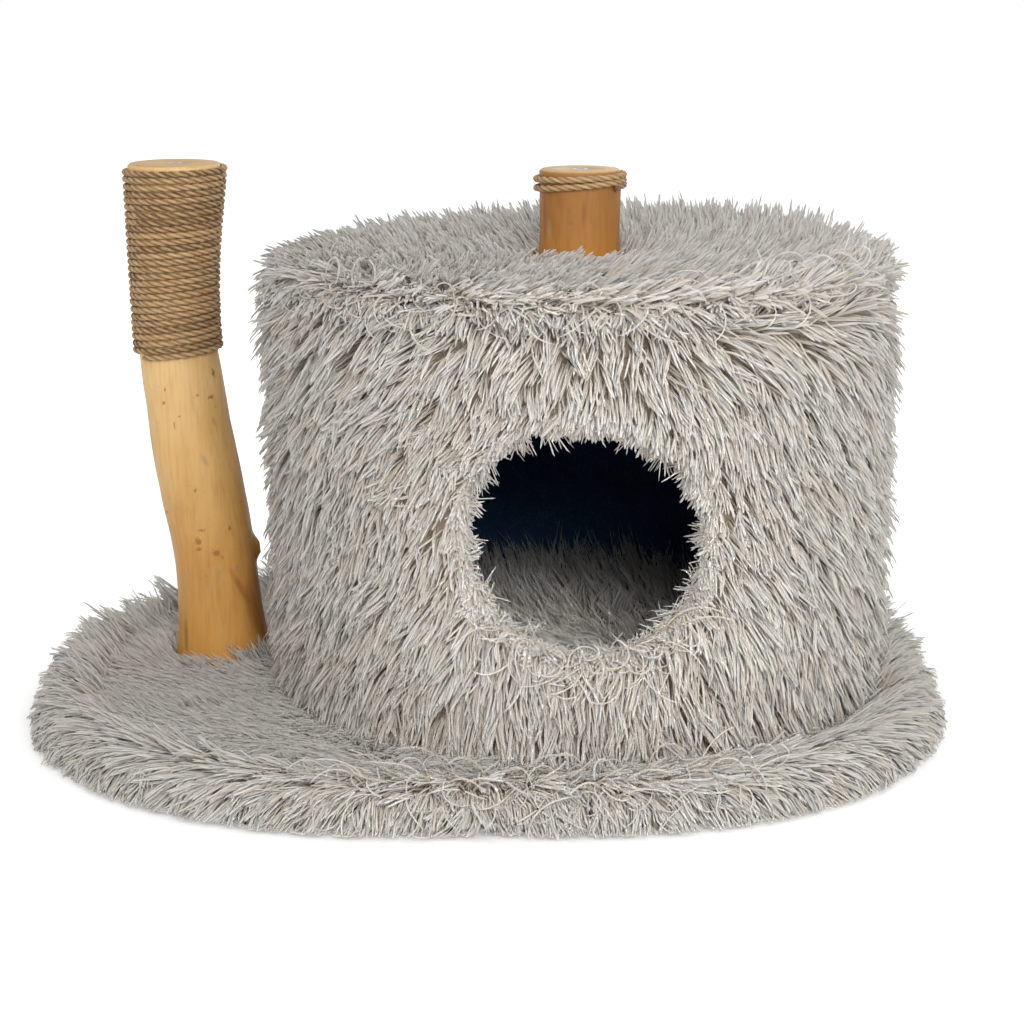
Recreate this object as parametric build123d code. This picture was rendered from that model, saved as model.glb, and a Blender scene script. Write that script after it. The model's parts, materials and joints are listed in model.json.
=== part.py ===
from build123d import *
import math
import os

# Lower stage of a cat tree: a plush-covered oval base, a round house with a doorway, and two barkless trunks
# wound with jute rope. X runs to the right, Y to the back, Z up. The origin is on the floor, under the middle
# of the base. All sizes are in millimetres.

# Base
BOARD_LENGTH = 790.0
BOARD_DEPTH = 690.0
BOARD_CORNER_RADIUS = 320.0
BOARD_THICKNESS = 20.0
BOARD_EDGE_CHAMFER = 3.0
PAD_DIAMETER = 40.0
PAD_THICKNESS = 3.5
PAD_INSET = 110.0
UNDERLAY_THICKNESS = 1.5
UNDERLAY_GAP = 1.0

# Plush: a knitted backing that carries a long pile
PLUSH_THICKNESS = 20.0
PLUSH_BACKING = 2.0
PLUSH_PRESSED = 4.0
PLUSH_TOP_ROUNDING = 16.0
PLUSH_FOOT_ROUNDING = 10.0
HEM_WIDTH = 45.0

# House
HOUSE_DIAMETER = 520.0
HOUSE_HEIGHT = 383.0
HOUSE_MARGIN = 51.0
WALL_THICKNESS = 4.0
WALL_SEAM = 1.0
HOUSE_BOARD_THICKNESS = 15.0
HOUSE_BOARD_CHAMFER = 1.5
LINING_THICKNESS = 3.0
CEILING_LINING_THICKNESS = 2.0
DOOR_DIAMETER = 210.0
DOOR_CENTRE_HEIGHT = 196.0
DOOR_TURN_IN = 5.0

# Left trunk: where its foot stands, its length, and its form. Each station of the bare part gives the share
# of the bare length, the sideways drift of the heart from the foot, and the diameter.
LEFT_POST_MARGIN = 138.5
LEFT_POST_SETBACK = 60.0
LEFT_POST_LENGTH = 479.0
LEFT_BARE_STATIONS = [
    (0.00, 0.0, 92.0),
    (0.07, -0.9, 87.0),
    (0.17, -2.9, 81.5),
    (0.39, -8.8, 79.0),
    (0.54, -16.6, 81.5),
    (0.64, -21.5, 81.0),
    (0.78, -27.8, 77.0),
    (0.93, -33.1, 75.0),
    (1.00, -35.5, 73.5),
]
LEFT_WRAPPED_STATIONS = [
    (0.00, -35.5, 73.5),
    (0.33, -37.5, 73.5),
    (1.00, -34.0, 86.5),
]

# Cut branch stub on the left trunk
STUB_SHARE = 0.37
STUB_FOOT_DIAMETER = 22.0
STUB_END_DIAMETER = 13.0
STUB_REACH = 4.5
STUB_ROUNDING = 2.0

# House trunk: straight. Each station gives the share of its length and the diameter.
HOUSE_POST_LENGTH = 92.0
HOUSE_POST_STATIONS = [
    (0.00, 77.0),
    (0.25, 74.0),
    (0.60, 73.0),
    (1.00, 73.5),
]
POST_TOP_CHAMFER = 1.0

# Rope
ROPE_DIAMETER = 6.6
ROPE_SIDES = 6
ROPE_GAP = 0.55
ROPE_CLEARANCE = 0.2
ROPE_TOP_MARGIN = 0.8
LEFT_ROPE_TURNS = 24.0
LEFT_ROPE_START = 220.0
HOUSE_ROPE_TURNS = 1.25
HOUSE_ROPE_START = 330.0

# Fasteners: M8 for the trunks, M6 for the house
POST_BOLT_DIAMETER = 8.0
POST_BOLT_ENGAGEMENT = 22.0
POST_BOLT_HEAD_FLATS = 13.0
POST_BOLT_HEAD_HEIGHT = 5.3
WASHER_DIAMETER = 24.0
WASHER_THICKNESS = 2.0
INSERT_DIAMETER = 14.0
INSERT_LENGTH = 25.0
INSERT_HOLE_EXTRA = 10.0
COUNTERBORE_DIAMETER = 28.0
COUNTERBORE_DEPTH = 9.0
HOUSE_BOLT_DIAMETER = 6.0
HOUSE_BOLT_HEAD_DIAMETER = 12.0
HOUSE_BOLT_HEAD_HEIGHT = 4.0
HOUSE_BOLT_RECESS_DIAMETER = 16.0
HOUSE_BOLT_RECESS_DEPTH = 8.0
HOUSE_BOLT_CIRCLE = 360.0
HOUSE_BOLT_COUNT = 4
T_NUT_BARREL_DIAMETER = 8.0
T_NUT_BARREL_LENGTH = 9.0
T_NUT_FLANGE_DIAMETER = 20.0
T_NUT_FLANGE_THICKNESS = 1.5

# Staples
STAPLE_CROWN = 12.0
STAPLE_WIRE = 0.9
STAPLE_LEG = 8.0
BASE_STAPLE_COUNT = 24
WALL_STAPLE_COUNT = 8

# Clearances
FIT = 0.2
BOLT_CLEARANCE = 0.3

# Heights that follow from the sizes above
BOARD_BOTTOM = PAD_THICKNESS + UNDERLAY_THICKNESS
BOARD_TOP = BOARD_BOTTOM + BOARD_THICKNESS
HOUSE_BOTTOM = BOARD_TOP + PLUSH_PRESSED
HOUSE_FLOOR = HOUSE_BOTTOM + HOUSE_BOARD_THICKNESS
HOUSE_TOP = HOUSE_BOTTOM + HOUSE_HEIGHT
HOUSE_CEILING = HOUSE_TOP - HOUSE_BOARD_THICKNESS
DOOR_CENTRE = HOUSE_BOTTOM + DOOR_CENTRE_HEIGHT

# Places that follow from the sizes above
WALL_RADIUS = HOUSE_DIAMETER / 2
WALL_INSIDE = WALL_RADIUS - WALL_THICKNESS
LINING_INSIDE = WALL_INSIDE - FIT - LINING_THICKNESS
PLUSH_RADIUS = WALL_RADIUS + PLUSH_THICKNESS
HOUSE_X = BOARD_LENGTH / 2 - HOUSE_MARGIN - WALL_RADIUS
LEFT_POST_X = -BOARD_LENGTH / 2 + LEFT_POST_MARGIN
ROPE_PITCH = ROPE_DIAMETER + ROPE_GAP


def slab(length, depth, corner_radius, bottom, thickness):
    """Plate with a rounded-rectangle outline, whose lower face is at the height bottom."""
    return Pos(0, 0, bottom) * extrude(RectangleRounded(length, depth, corner_radius), thickness)


def disc(x, y, bottom, diameter, thickness):
    """Upright cylinder whose lower face is at the height bottom."""
    return Pos(x, y, bottom) * extrude(Circle(diameter / 2), thickness)


def ring(x, y, bottom, outer_diameter, inner_diameter, thickness):
    """Upright tube whose lower face is at the height bottom."""
    outline = Circle(outer_diameter / 2) - Circle(inner_diameter / 2)
    return Pos(x, y, bottom) * extrude(outline, thickness)


def joined(solids):
    """One node that holds separate solids."""
    return Part() + list(solids)


def doorway(diameter):
    """Cylinder along Y that cuts the front of the house at the doorway."""
    reach = HOUSE_DIAMETER
    bar = extrude(Plane.XZ * Circle(diameter / 2), reach)
    return Pos(HOUSE_X, 0, DOOR_CENTRE) * bar


def house_bolt_places():
    """Middle of each house bolt, spaced round a circle under the house."""
    places = []
    for index in range(HOUSE_BOLT_COUNT):
        angle = math.tau * (index + 0.5) / HOUSE_BOLT_COUNT
        x = HOUSE_X + HOUSE_BOLT_CIRCLE / 2 * math.cos(angle)
        y = HOUSE_BOLT_CIRCLE / 2 * math.sin(angle)
        places.append((x, y))
    return places


def pad_places():
    """Middle of each pad: the four corners and the middle of the front and back."""
    x = BOARD_LENGTH / 2 - PAD_INSET
    y = BOARD_DEPTH / 2 - PAD_INSET
    corner_share = 0.8
    corners = [(sx * x * corner_share, sy * y * corner_share) for sx in (-1, 1) for sy in (-1, 1)]
    return corners + [(0, -y), (0, y)]


def board_blank():
    """Base board before it is drilled, with eased edges."""
    blank = slab(BOARD_LENGTH, BOARD_DEPTH, BOARD_CORNER_RADIUS, BOARD_BOTTOM, BOARD_THICKNESS)
    rims = blank.edges().group_by(Axis.Z)
    return chamfer(rims[0] + rims[-1], BOARD_EDGE_CHAMFER)


def staple():
    """Wire staple with its crown on the XY plane along X and its legs pointing up."""
    legs_apart = STAPLE_CROWN - STAPLE_WIRE
    crown = Pos(0, 0, -STAPLE_WIRE / 2) * Box(STAPLE_CROWN, STAPLE_WIRE, STAPLE_WIRE)
    for side in (-1, 1):
        leg = Pos(side * legs_apart / 2, 0, STAPLE_LEG / 2) * Box(STAPLE_WIRE, STAPLE_WIRE, STAPLE_LEG)
        crown = crown + leg
    return crown


def base_staples():
    """Staples through the hem into the board, spaced evenly along the middle of the hem."""
    hem_middle = HEM_WIDTH / 2
    line = RectangleRounded(
        BOARD_LENGTH - HEM_WIDTH, BOARD_DEPTH - HEM_WIDTH, BOARD_CORNER_RADIUS - hem_middle
    ).wire()
    hem_bottom = BOARD_BOTTOM - PLUSH_BACKING
    placed = []
    for index in range(BASE_STAPLE_COUNT):
        share = (index + 0.5) / BASE_STAPLE_COUNT
        point = line.position_at(share)
        way = line.tangent_at(share)
        spot = Plane(origin=(point.X, point.Y, hem_bottom), x_dir=(way.X, way.Y, 0), z_dir=(0, 0, 1))
        placed.append(spot * staple())
    return joined(placed)


def wall_staples():
    """Staples through the wall into the edges of both round boards, sunk flush with the wall."""
    placed = []
    for height in (HOUSE_BOTTOM + HOUSE_BOARD_THICKNESS / 2, HOUSE_TOP - HOUSE_BOARD_THICKNESS / 2):
        for index in range(WALL_STAPLE_COUNT):
            angle = math.tau * (index + 0.5) / WALL_STAPLE_COUNT
            out = Vector(math.cos(angle), math.sin(angle), 0)
            along = Vector(-math.sin(angle), math.cos(angle), 0)
            sag = WALL_RADIUS - math.sqrt(WALL_RADIUS**2 - (STAPLE_CROWN / 2) ** 2)
            depth = WALL_RADIUS - sag - STAPLE_WIRE - FIT
            origin = Vector(HOUSE_X, 0, height) + out * depth
            placed.append(Plane(origin=origin, x_dir=along, z_dir=-out) * staple())
    return joined(placed)


def left_stations():
    """Stations of the left trunk as height above its foot, sideways drift and diameter."""
    wrapped = LEFT_ROPE_TURNS * ROPE_PITCH + ROPE_DIAMETER + ROPE_TOP_MARGIN
    bare = LEFT_POST_LENGTH - wrapped
    lower = [(share * bare, drift, diameter) for share, drift, diameter in LEFT_BARE_STATIONS]
    upper = [(bare + share * wrapped, drift, diameter) for share, drift, diameter in LEFT_WRAPPED_STATIONS]
    return lower, upper


def house_stations():
    """Stations of the house trunk as height above its foot, sideways drift and diameter."""
    return [(share * HOUSE_POST_LENGTH, 0.0, diameter) for share, diameter in HOUSE_POST_STATIONS]


def station_at(stations, height):
    """Sideways drift and diameter at a height, read off the straight line between two stations."""
    for low, high in zip(stations, stations[1:]):
        if height <= high[0]:
            break
    share = (height - low[0]) / (high[0] - low[0])
    drift = low[1] + share * (high[1] - low[1])
    diameter = low[2] + share * (high[2] - low[2])
    return drift, diameter


def trunk(stations, x, y, foot, ruled):
    """Solid through the round sections of a trunk."""
    sections = []
    for height, drift, diameter in stations:
        sections.append(Pos(x + drift, y, foot + height) * Circle(diameter / 2))
    return loft(sections, ruled=ruled)


def insert_hole(x, y, mouth, into):
    """Hole for a threaded insert: mouth is the height of its mouth, into is 1 upwards or -1 downwards."""
    depth = INSERT_LENGTH + INSERT_HOLE_EXTRA
    bottom = mouth if into > 0 else mouth - depth
    return disc(x, y, bottom, INSERT_DIAMETER, depth)


def threaded_insert(x, y, mouth, into):
    """Threaded insert, flush with the wood. The thread is a plain bore at its nominal diameter."""
    bottom = mouth if into > 0 else mouth - INSERT_LENGTH
    return ring(x, y, bottom, INSERT_DIAMETER, POST_BOLT_DIAMETER, INSERT_LENGTH)


def post_bolt(x, y, seat, tip):
    """Hexagon bolt whose head bears upwards against the height seat."""
    across_corners = POST_BOLT_HEAD_FLATS / math.cos(math.pi / 6)
    outline = RegularPolygon(across_corners / 2, 6)
    head = Pos(x, y, seat - POST_BOLT_HEAD_HEIGHT) * extrude(outline, POST_BOLT_HEAD_HEIGHT)
    shank = disc(x, y, seat, POST_BOLT_DIAMETER - BOLT_CLEARANCE, tip - seat)
    return head + shank


def washer(x, y, top):
    """Flat washer under the head of a trunk bolt."""
    hole = POST_BOLT_DIAMETER + BOLT_CLEARANCE
    return ring(x, y, top - WASHER_THICKNESS, WASHER_DIAMETER, hole, WASHER_THICKNESS)


def left_post():
    """Left trunk: a smooth bent lower part, a straight-sided wrapped part, and a cut branch stub."""
    lower, upper = left_stations()
    wood = trunk(lower, LEFT_POST_X, LEFT_POST_SETBACK, BOARD_TOP, False)
    wood = wood + trunk(upper, LEFT_POST_X, LEFT_POST_SETBACK, BOARD_TOP, True)
    rim = wood.edges().group_by(Axis.Z)[-1]
    wood = chamfer(rim, POST_TOP_CHAMFER)
    stub_height = STUB_SHARE * lower[-1][0]
    drift, diameter = station_at(lower, stub_height)
    root = diameter / 4
    reach = diameter / 2 + STUB_REACH - root
    on_foot = (Align.CENTER, Align.CENTER, Align.MIN)
    stub = Cone(STUB_FOOT_DIAMETER / 2, STUB_END_DIAMETER / 2, reach, align=on_foot)
    stub = fillet(stub.edges().group_by(Axis.Z)[-1], STUB_ROUNDING)
    stub_foot = (LEFT_POST_X + drift + root, LEFT_POST_SETBACK, BOARD_TOP + stub_height)
    wood = wood + Plane(origin=stub_foot, z_dir=(1, 0, 0)) * stub
    top_x = LEFT_POST_X + upper[-1][1]
    wood = wood - insert_hole(LEFT_POST_X, LEFT_POST_SETBACK, BOARD_TOP, 1)
    return wood - insert_hole(top_x, LEFT_POST_SETBACK, BOARD_TOP + LEFT_POST_LENGTH, -1)


def house_post():
    """House trunk, standing on the top board in the middle of the house."""
    side = [(diameter / 2, height) for height, _, diameter in house_stations()]
    half_section = make_face(Polyline((0, 0), *side, (0, HOUSE_POST_LENGTH), close=True))
    wood = Pos(HOUSE_X, 0, HOUSE_TOP) * revolve(Plane.XZ * half_section, Axis.Z)
    wood = chamfer(wood.edges().group_by(Axis.Z)[-1], POST_TOP_CHAMFER)
    wood = wood - insert_hole(HOUSE_X, 0, HOUSE_TOP, 1)
    return wood - insert_hole(HOUSE_X, 0, HOUSE_TOP + HOUSE_POST_LENGTH, -1)


def biarc(start, start_way, end, end_way):
    """Two arcs that leave start along start_way, reach end along end_way and meet on one tangent."""
    span = end - start
    along = span.dot(start_way + end_way)
    spread = 2 * (1 - start_way.dot(end_way))
    reach = (math.sqrt(along**2 + spread * span.dot(span)) - along) / spread
    first_corner = start + start_way * reach
    last_corner = end - end_way * reach
    middle = (first_corner + last_corner) / 2
    return [
        TangentArc(start, middle, tangent=start_way),
        TangentArc(middle, end, tangent=last_corner - first_corner),
    ]


def winding_path(stations, x, y, foot, first_height, turns, first_angle):
    """Rope line round a trunk: quarter-turn biarcs, with one straight rope diameter at each end."""

    def place(turn):
        height = first_height + turn * ROPE_PITCH
        drift, diameter = station_at(stations, height)
        radius = diameter / 2 + ROPE_CLEARANCE + ROPE_DIAMETER / 2
        angle = first_angle + math.tau * turn
        return Vector(x + drift + radius * math.cos(angle), y + radius * math.sin(angle), foot + height)

    def way(turn):
        step = 0.001
        return (place(turn + step) - place(turn - step)).normalized()

    quarters = round(turns * 4)
    edges = [Line(place(0) - way(0) * ROPE_DIAMETER, place(0))]
    for quarter in range(quarters):
        edges += biarc(place(quarter / 4), way(quarter / 4), place((quarter + 1) / 4), way((quarter + 1) / 4))
    edges.append(Line(place(turns), place(turns) + way(turns) * ROPE_DIAMETER))
    return edges


def least_gap(edges, diameter):
    """Least gap of a tube to its own next turn, measured on points along its line."""
    points = [edge.position_at(step / 8) for edge in edges for step in range(8)]
    turn = 8 * 8
    gap = math.inf
    for index, point in enumerate(points):
        for other in points[index + turn // 2 : index + turn + turn // 2]:
            gap = min(gap, (other - point).length - diameter)
    return gap


def winding(name, stations, x, y, foot, length, turns, first_angle):
    """Rope wound up a trunk to just under its top, as one unbroken tube."""
    first_height = length - ROPE_TOP_MARGIN - ROPE_DIAMETER / 2 - turns * ROPE_PITCH
    edges = winding_path(stations, x, y, foot, first_height, turns, first_angle)
    line = Wire(edges)
    outline = RegularPolygon(ROPE_DIAMETER / 2, ROPE_SIDES)
    section = Plane(origin=line.position_at(0), z_dir=line.tangent_at(0)) * outline
    rope = sweep(section, path=line, clean=False)
    volume_share = rope.volume / (outline.area * line.length)
    print(f"{name}: {turns} turns, {line.length:.0f} mm of rope")
    print(f"{name}: volume over section times length {volume_share:.4f}")
    print(f"{name}: least gap between turns {least_gap(edges, ROPE_DIAMETER):.2f} mm")
    return rope


def base_board(staples):
    """Oval base board with recesses for the bolt heads and holes for the fasteners."""
    board = board_blank()
    bolt_hole = POST_BOLT_DIAMETER + BOLT_CLEARANCE
    board = board - disc(LEFT_POST_X, LEFT_POST_SETBACK, BOARD_BOTTOM, bolt_hole, BOARD_THICKNESS)
    board = board - disc(
        LEFT_POST_X, LEFT_POST_SETBACK, BOARD_BOTTOM, COUNTERBORE_DIAMETER, COUNTERBORE_DEPTH
    )
    for x, y in house_bolt_places():
        board = board - disc(x, y, BOARD_BOTTOM, HOUSE_BOLT_DIAMETER + BOLT_CLEARANCE, BOARD_THICKNESS)
        board = board - disc(x, y, BOARD_BOTTOM, HOUSE_BOLT_RECESS_DIAMETER, HOUSE_BOLT_RECESS_DEPTH)
    return board - staples


def base_plush(staples):
    """Plush over the base: thick on top and sides, a thin hem below, pressed flat under the house."""
    bottom = BOARD_BOTTOM - PLUSH_BACKING
    height = BOARD_TOP + PLUSH_THICKNESS - bottom
    length = BOARD_LENGTH + 2 * PLUSH_THICKNESS
    depth = BOARD_DEPTH + 2 * PLUSH_THICKNESS
    cover = slab(length, depth, BOARD_CORNER_RADIUS + PLUSH_THICKNESS, bottom, height)
    rims = cover.edges().group_by(Axis.Z)
    cover = fillet(rims[-1], PLUSH_TOP_ROUNDING)
    cover = fillet(cover.edges().group_by(Axis.Z)[0], PLUSH_FOOT_ROUNDING)
    cover = cover - board_blank()
    inside = 2 * HEM_WIDTH
    cover = cover - slab(
        BOARD_LENGTH - inside, BOARD_DEPTH - inside, BOARD_CORNER_RADIUS - HEM_WIDTH, bottom, PLUSH_BACKING
    )
    cover = cover - disc(HOUSE_X, 0, HOUSE_BOTTOM, 2 * (PLUSH_RADIUS + FIT), PLUSH_THICKNESS)
    foot_diameter = LEFT_BARE_STATIONS[0][2]
    cover = cover - disc(LEFT_POST_X, LEFT_POST_SETBACK, BOARD_TOP, foot_diameter + 2 * FIT, PLUSH_THICKNESS)
    for x, y in house_bolt_places():
        cover = cover - disc(x, y, BOARD_TOP, HOUSE_BOLT_DIAMETER + BOLT_CLEARANCE, PLUSH_PRESSED)
    return cover - staples


def base_underlay():
    """Felt under the base, cut to lie inside the hem."""
    inside = 2 * (HEM_WIDTH + UNDERLAY_GAP)
    corner = BOARD_CORNER_RADIUS - HEM_WIDTH - UNDERLAY_GAP
    return slab(BOARD_LENGTH - inside, BOARD_DEPTH - inside, corner, PAD_THICKNESS, UNDERLAY_THICKNESS)


def base_pads():
    """Anti-slip pads, glued under the felt."""
    return joined(disc(x, y, 0, PAD_DIAMETER, PAD_THICKNESS) for x, y in pad_places())


def round_board(bottom):
    """Round house board that fits inside the wall, with eased edges."""
    board = disc(HOUSE_X, 0, bottom, 2 * (WALL_INSIDE - FIT), HOUSE_BOARD_THICKNESS)
    rims = board.edges().group_by(Axis.Z)
    return chamfer(rims[0] + rims[-1], HOUSE_BOARD_CHAMFER)


def house_floor_board(staples):
    """Floor board of the house, drilled for the T-nuts."""
    board = round_board(HOUSE_BOTTOM)
    for x, y in house_bolt_places():
        board = board - disc(x, y, HOUSE_BOTTOM, T_NUT_BARREL_DIAMETER, HOUSE_BOARD_THICKNESS)
        seat = HOUSE_FLOOR - T_NUT_FLANGE_THICKNESS
        board = board - disc(x, y, seat, T_NUT_FLANGE_DIAMETER, T_NUT_FLANGE_THICKNESS)
    return board - staples


def house_top_board(staples):
    """Top board of the house, drilled for the bolt of the house trunk."""
    board = round_board(HOUSE_CEILING)
    hole = disc(HOUSE_X, 0, HOUSE_CEILING, POST_BOLT_DIAMETER + BOLT_CLEARANCE, HOUSE_BOARD_THICKNESS)
    return board - hole - staples


def house_wall(staples):
    """Rolled wall panel with a round doorway in front and a butt seam at the back."""
    wall = ring(HOUSE_X, 0, HOUSE_BOTTOM, HOUSE_DIAMETER, 2 * WALL_INSIDE, HOUSE_HEIGHT)
    wall = wall - doorway(DOOR_DIAMETER)
    seam = Pos(HOUSE_X, WALL_RADIUS, HOUSE_BOTTOM + HOUSE_HEIGHT / 2) * Box(
        WALL_SEAM, 4 * WALL_THICKNESS, 2 * HOUSE_HEIGHT
    )
    return wall - seam - staples


def house_lining():
    """Dark felt on the inside of the wall, between the two round boards."""
    height = HOUSE_CEILING - HOUSE_FLOOR
    outside = 2 * (WALL_INSIDE - FIT)
    return ring(HOUSE_X, 0, HOUSE_FLOOR, outside, 2 * LINING_INSIDE, height) - doorway(DOOR_DIAMETER)


def house_ceiling_lining():
    """Dark felt under the top board, with a hole for the bolt head and washer."""
    bottom = HOUSE_CEILING - CEILING_LINING_THICKNESS
    outside = 2 * (LINING_INSIDE - FIT)
    return ring(HOUSE_X, 0, bottom, outside, COUNTERBORE_DIAMETER, CEILING_LINING_THICKNESS)


def house_floor_plush():
    """Plush mat on the house floor."""
    mat = disc(HOUSE_X, 0, HOUSE_FLOOR, 2 * (LINING_INSIDE - FIT), PLUSH_THICKNESS)
    return fillet(mat.edges().group_by(Axis.Z)[-1], PLUSH_TOP_ROUNDING / 2)


def house_wall_plush():
    """Plush round the wall, turned in round the edge of the doorway as far as the lining's face."""
    opening = DOOR_DIAMETER - 2 * DOOR_TURN_IN
    inside = 2 * (WALL_RADIUS + FIT)
    cover = ring(HOUSE_X, 0, HOUSE_BOTTOM, 2 * PLUSH_RADIUS, inside, HOUSE_HEIGHT)
    depth = ring(HOUSE_X, 0, HOUSE_BOTTOM, inside + 2, 2 * LINING_INSIDE, HOUSE_HEIGHT)
    turned_in = depth & doorway(DOOR_DIAMETER - 2 * FIT)
    return cover + turned_in - doorway(opening)


def house_top_plush():
    """Plush on the house top, rounded over the rim, with a hole for the house trunk."""
    cover = disc(HOUSE_X, 0, HOUSE_TOP, 2 * PLUSH_RADIUS, PLUSH_THICKNESS)
    cover = fillet(cover.edges().group_by(Axis.Z)[-1], PLUSH_TOP_ROUNDING)
    foot_diameter = HOUSE_POST_STATIONS[0][1]
    return cover - disc(HOUSE_X, 0, HOUSE_TOP, foot_diameter + 2 * FIT, PLUSH_THICKNESS)


def house_bolts():
    """Bolts from under the base board up into the T-nuts of the house floor."""
    seat = BOARD_BOTTOM + HOUSE_BOLT_RECESS_DEPTH
    tip = HOUSE_FLOOR - T_NUT_FLANGE_THICKNESS
    bolts = []
    for x, y in house_bolt_places():
        head = disc(x, y, seat - HOUSE_BOLT_HEAD_HEIGHT, HOUSE_BOLT_HEAD_DIAMETER, HOUSE_BOLT_HEAD_HEIGHT)
        bolts.append(head + disc(x, y, seat, HOUSE_BOLT_DIAMETER - BOLT_CLEARANCE, tip - seat))
    return joined(bolts)


def house_t_nuts():
    """T-nuts, driven flush into the top of the house floor board."""
    seat = HOUSE_FLOOR - T_NUT_FLANGE_THICKNESS
    nuts = []
    for x, y in house_bolt_places():
        barrel_bottom = seat - T_NUT_BARREL_LENGTH
        barrel = ring(x, y, barrel_bottom, T_NUT_BARREL_DIAMETER, HOUSE_BOLT_DIAMETER, T_NUT_BARREL_LENGTH)
        flange = ring(x, y, seat, T_NUT_FLANGE_DIAMETER, HOUSE_BOLT_DIAMETER, T_NUT_FLANGE_THICKNESS)
        nuts.append(barrel + flange)
    return joined(nuts)


def all_nodes():
    """Every sub-part under its name."""
    hem_staples = base_staples()
    panel_staples = wall_staples()
    lower, upper = left_stations()
    left_top_x = LEFT_POST_X + upper[-1][1]
    left_top = BOARD_TOP + LEFT_POST_LENGTH
    house_post_top = HOUSE_TOP + HOUSE_POST_LENGTH
    left_seat = BOARD_BOTTOM + COUNTERBORE_DEPTH
    return {
        "base_board": base_board(hem_staples),
        "base_plush": base_plush(hem_staples),
        "base_staples": hem_staples,
        "base_underlay": base_underlay(),
        "base_pads": base_pads(),
        "house_floor_board": house_floor_board(panel_staples),
        "house_top_board": house_top_board(panel_staples),
        "house_wall": house_wall(panel_staples),
        "house_wall_staples": panel_staples,
        "house_lining": house_lining(),
        "house_ceiling_lining": house_ceiling_lining(),
        "house_floor_plush": house_floor_plush(),
        "house_wall_plush": house_wall_plush(),
        "house_top_plush": house_top_plush(),
        "house_bolts": house_bolts(),
        "house_t_nuts": house_t_nuts(),
        "left_post": left_post(),
        "left_post_rope": winding(
            "left_post_rope", lower[:-1] + upper, LEFT_POST_X, LEFT_POST_SETBACK, BOARD_TOP,
            LEFT_POST_LENGTH, LEFT_ROPE_TURNS, math.radians(LEFT_ROPE_START),
        ),
        "left_post_bolt": post_bolt(
            LEFT_POST_X, LEFT_POST_SETBACK, left_seat - WASHER_THICKNESS, BOARD_TOP + POST_BOLT_ENGAGEMENT
        ),
        "left_post_washer": washer(LEFT_POST_X, LEFT_POST_SETBACK, left_seat),
        "left_post_foot_insert": threaded_insert(LEFT_POST_X, LEFT_POST_SETBACK, BOARD_TOP, 1),
        "left_post_top_insert": threaded_insert(left_top_x, LEFT_POST_SETBACK, left_top, -1),
        "house_post": house_post(),
        "house_post_rope": winding(
            "house_post_rope", house_stations(), HOUSE_X, 0, HOUSE_TOP,
            HOUSE_POST_LENGTH, HOUSE_ROPE_TURNS, math.radians(HOUSE_ROPE_START),
        ),
        "house_post_bolt": post_bolt(
            HOUSE_X, 0, HOUSE_CEILING - WASHER_THICKNESS, HOUSE_TOP + POST_BOLT_ENGAGEMENT
        ),
        "house_post_washer": washer(HOUSE_X, 0, HOUSE_CEILING),
        "house_post_foot_insert": threaded_insert(HOUSE_X, 0, HOUSE_TOP, 1),
        "house_post_top_insert": threaded_insert(HOUSE_X, 0, house_post_top, -1),
    }


os.makedirs("parts", exist_ok=True)
for name, solid in all_nodes().items():
    export_step(solid, f"parts/{name}.step")
    print(f"{name}: {len(solid.solids())} solids, {solid.volume / 1000:.1f} cm3")
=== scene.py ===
# %% [markdown]
# # Cat tree, lower stage
# The imported CAD model is the fixed frame: every board, bolt and trunk is already in place, in metres.
# This lesson dresses it. The plush becomes a knitted backing with a pile of separate strands, the
# windings become laid rope, the trunks get their bark-free wood, and the hidden boards and fittings get
# plain finishes. The first cell loads the frame.

# %% Load the frame
import json
import math

import bmesh
import bpy
import numpy as np
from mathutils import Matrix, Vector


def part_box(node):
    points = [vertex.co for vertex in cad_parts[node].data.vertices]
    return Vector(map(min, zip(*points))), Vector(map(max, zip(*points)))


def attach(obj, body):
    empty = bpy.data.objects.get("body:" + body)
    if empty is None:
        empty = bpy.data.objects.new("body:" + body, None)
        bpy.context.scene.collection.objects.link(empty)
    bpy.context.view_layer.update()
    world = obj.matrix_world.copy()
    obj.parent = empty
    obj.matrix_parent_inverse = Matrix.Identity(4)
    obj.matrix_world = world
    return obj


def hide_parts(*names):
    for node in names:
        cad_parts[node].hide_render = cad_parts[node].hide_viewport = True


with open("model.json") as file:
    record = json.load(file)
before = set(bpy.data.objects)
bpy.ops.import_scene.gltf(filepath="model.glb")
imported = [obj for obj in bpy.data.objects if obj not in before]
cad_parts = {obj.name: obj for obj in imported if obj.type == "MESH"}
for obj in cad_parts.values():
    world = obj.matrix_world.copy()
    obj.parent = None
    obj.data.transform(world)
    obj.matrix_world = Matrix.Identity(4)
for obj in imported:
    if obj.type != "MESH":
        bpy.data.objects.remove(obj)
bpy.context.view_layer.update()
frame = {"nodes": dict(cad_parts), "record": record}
nodes = frame["nodes"]

# %% [markdown]
# ## Sizes read from the frame
# The house, the trunks and the base take their places from the boxes of the CAD nodes, so that they
# stay in step with it. A box doesn't tell a hole's radius, a corner's rounding or a sheet's thickness,
# so those few sizes are written here as the CAD has them.

# %% Places of the main pieces
MM = 0.001
UP = np.array([0.0, 0.0, 1.0])
PLUSH_THICKNESS = 20 * MM
DOOR_RISE = 196 * MM


def middle(node):
    """Middle of a node's box."""
    low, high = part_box(node)
    return (np.array(low) + np.array(high)) / 2


def size_of(node):
    """Length of a node's box along X, Y and Z."""
    low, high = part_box(node)
    return np.array(high) - np.array(low)


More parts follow.
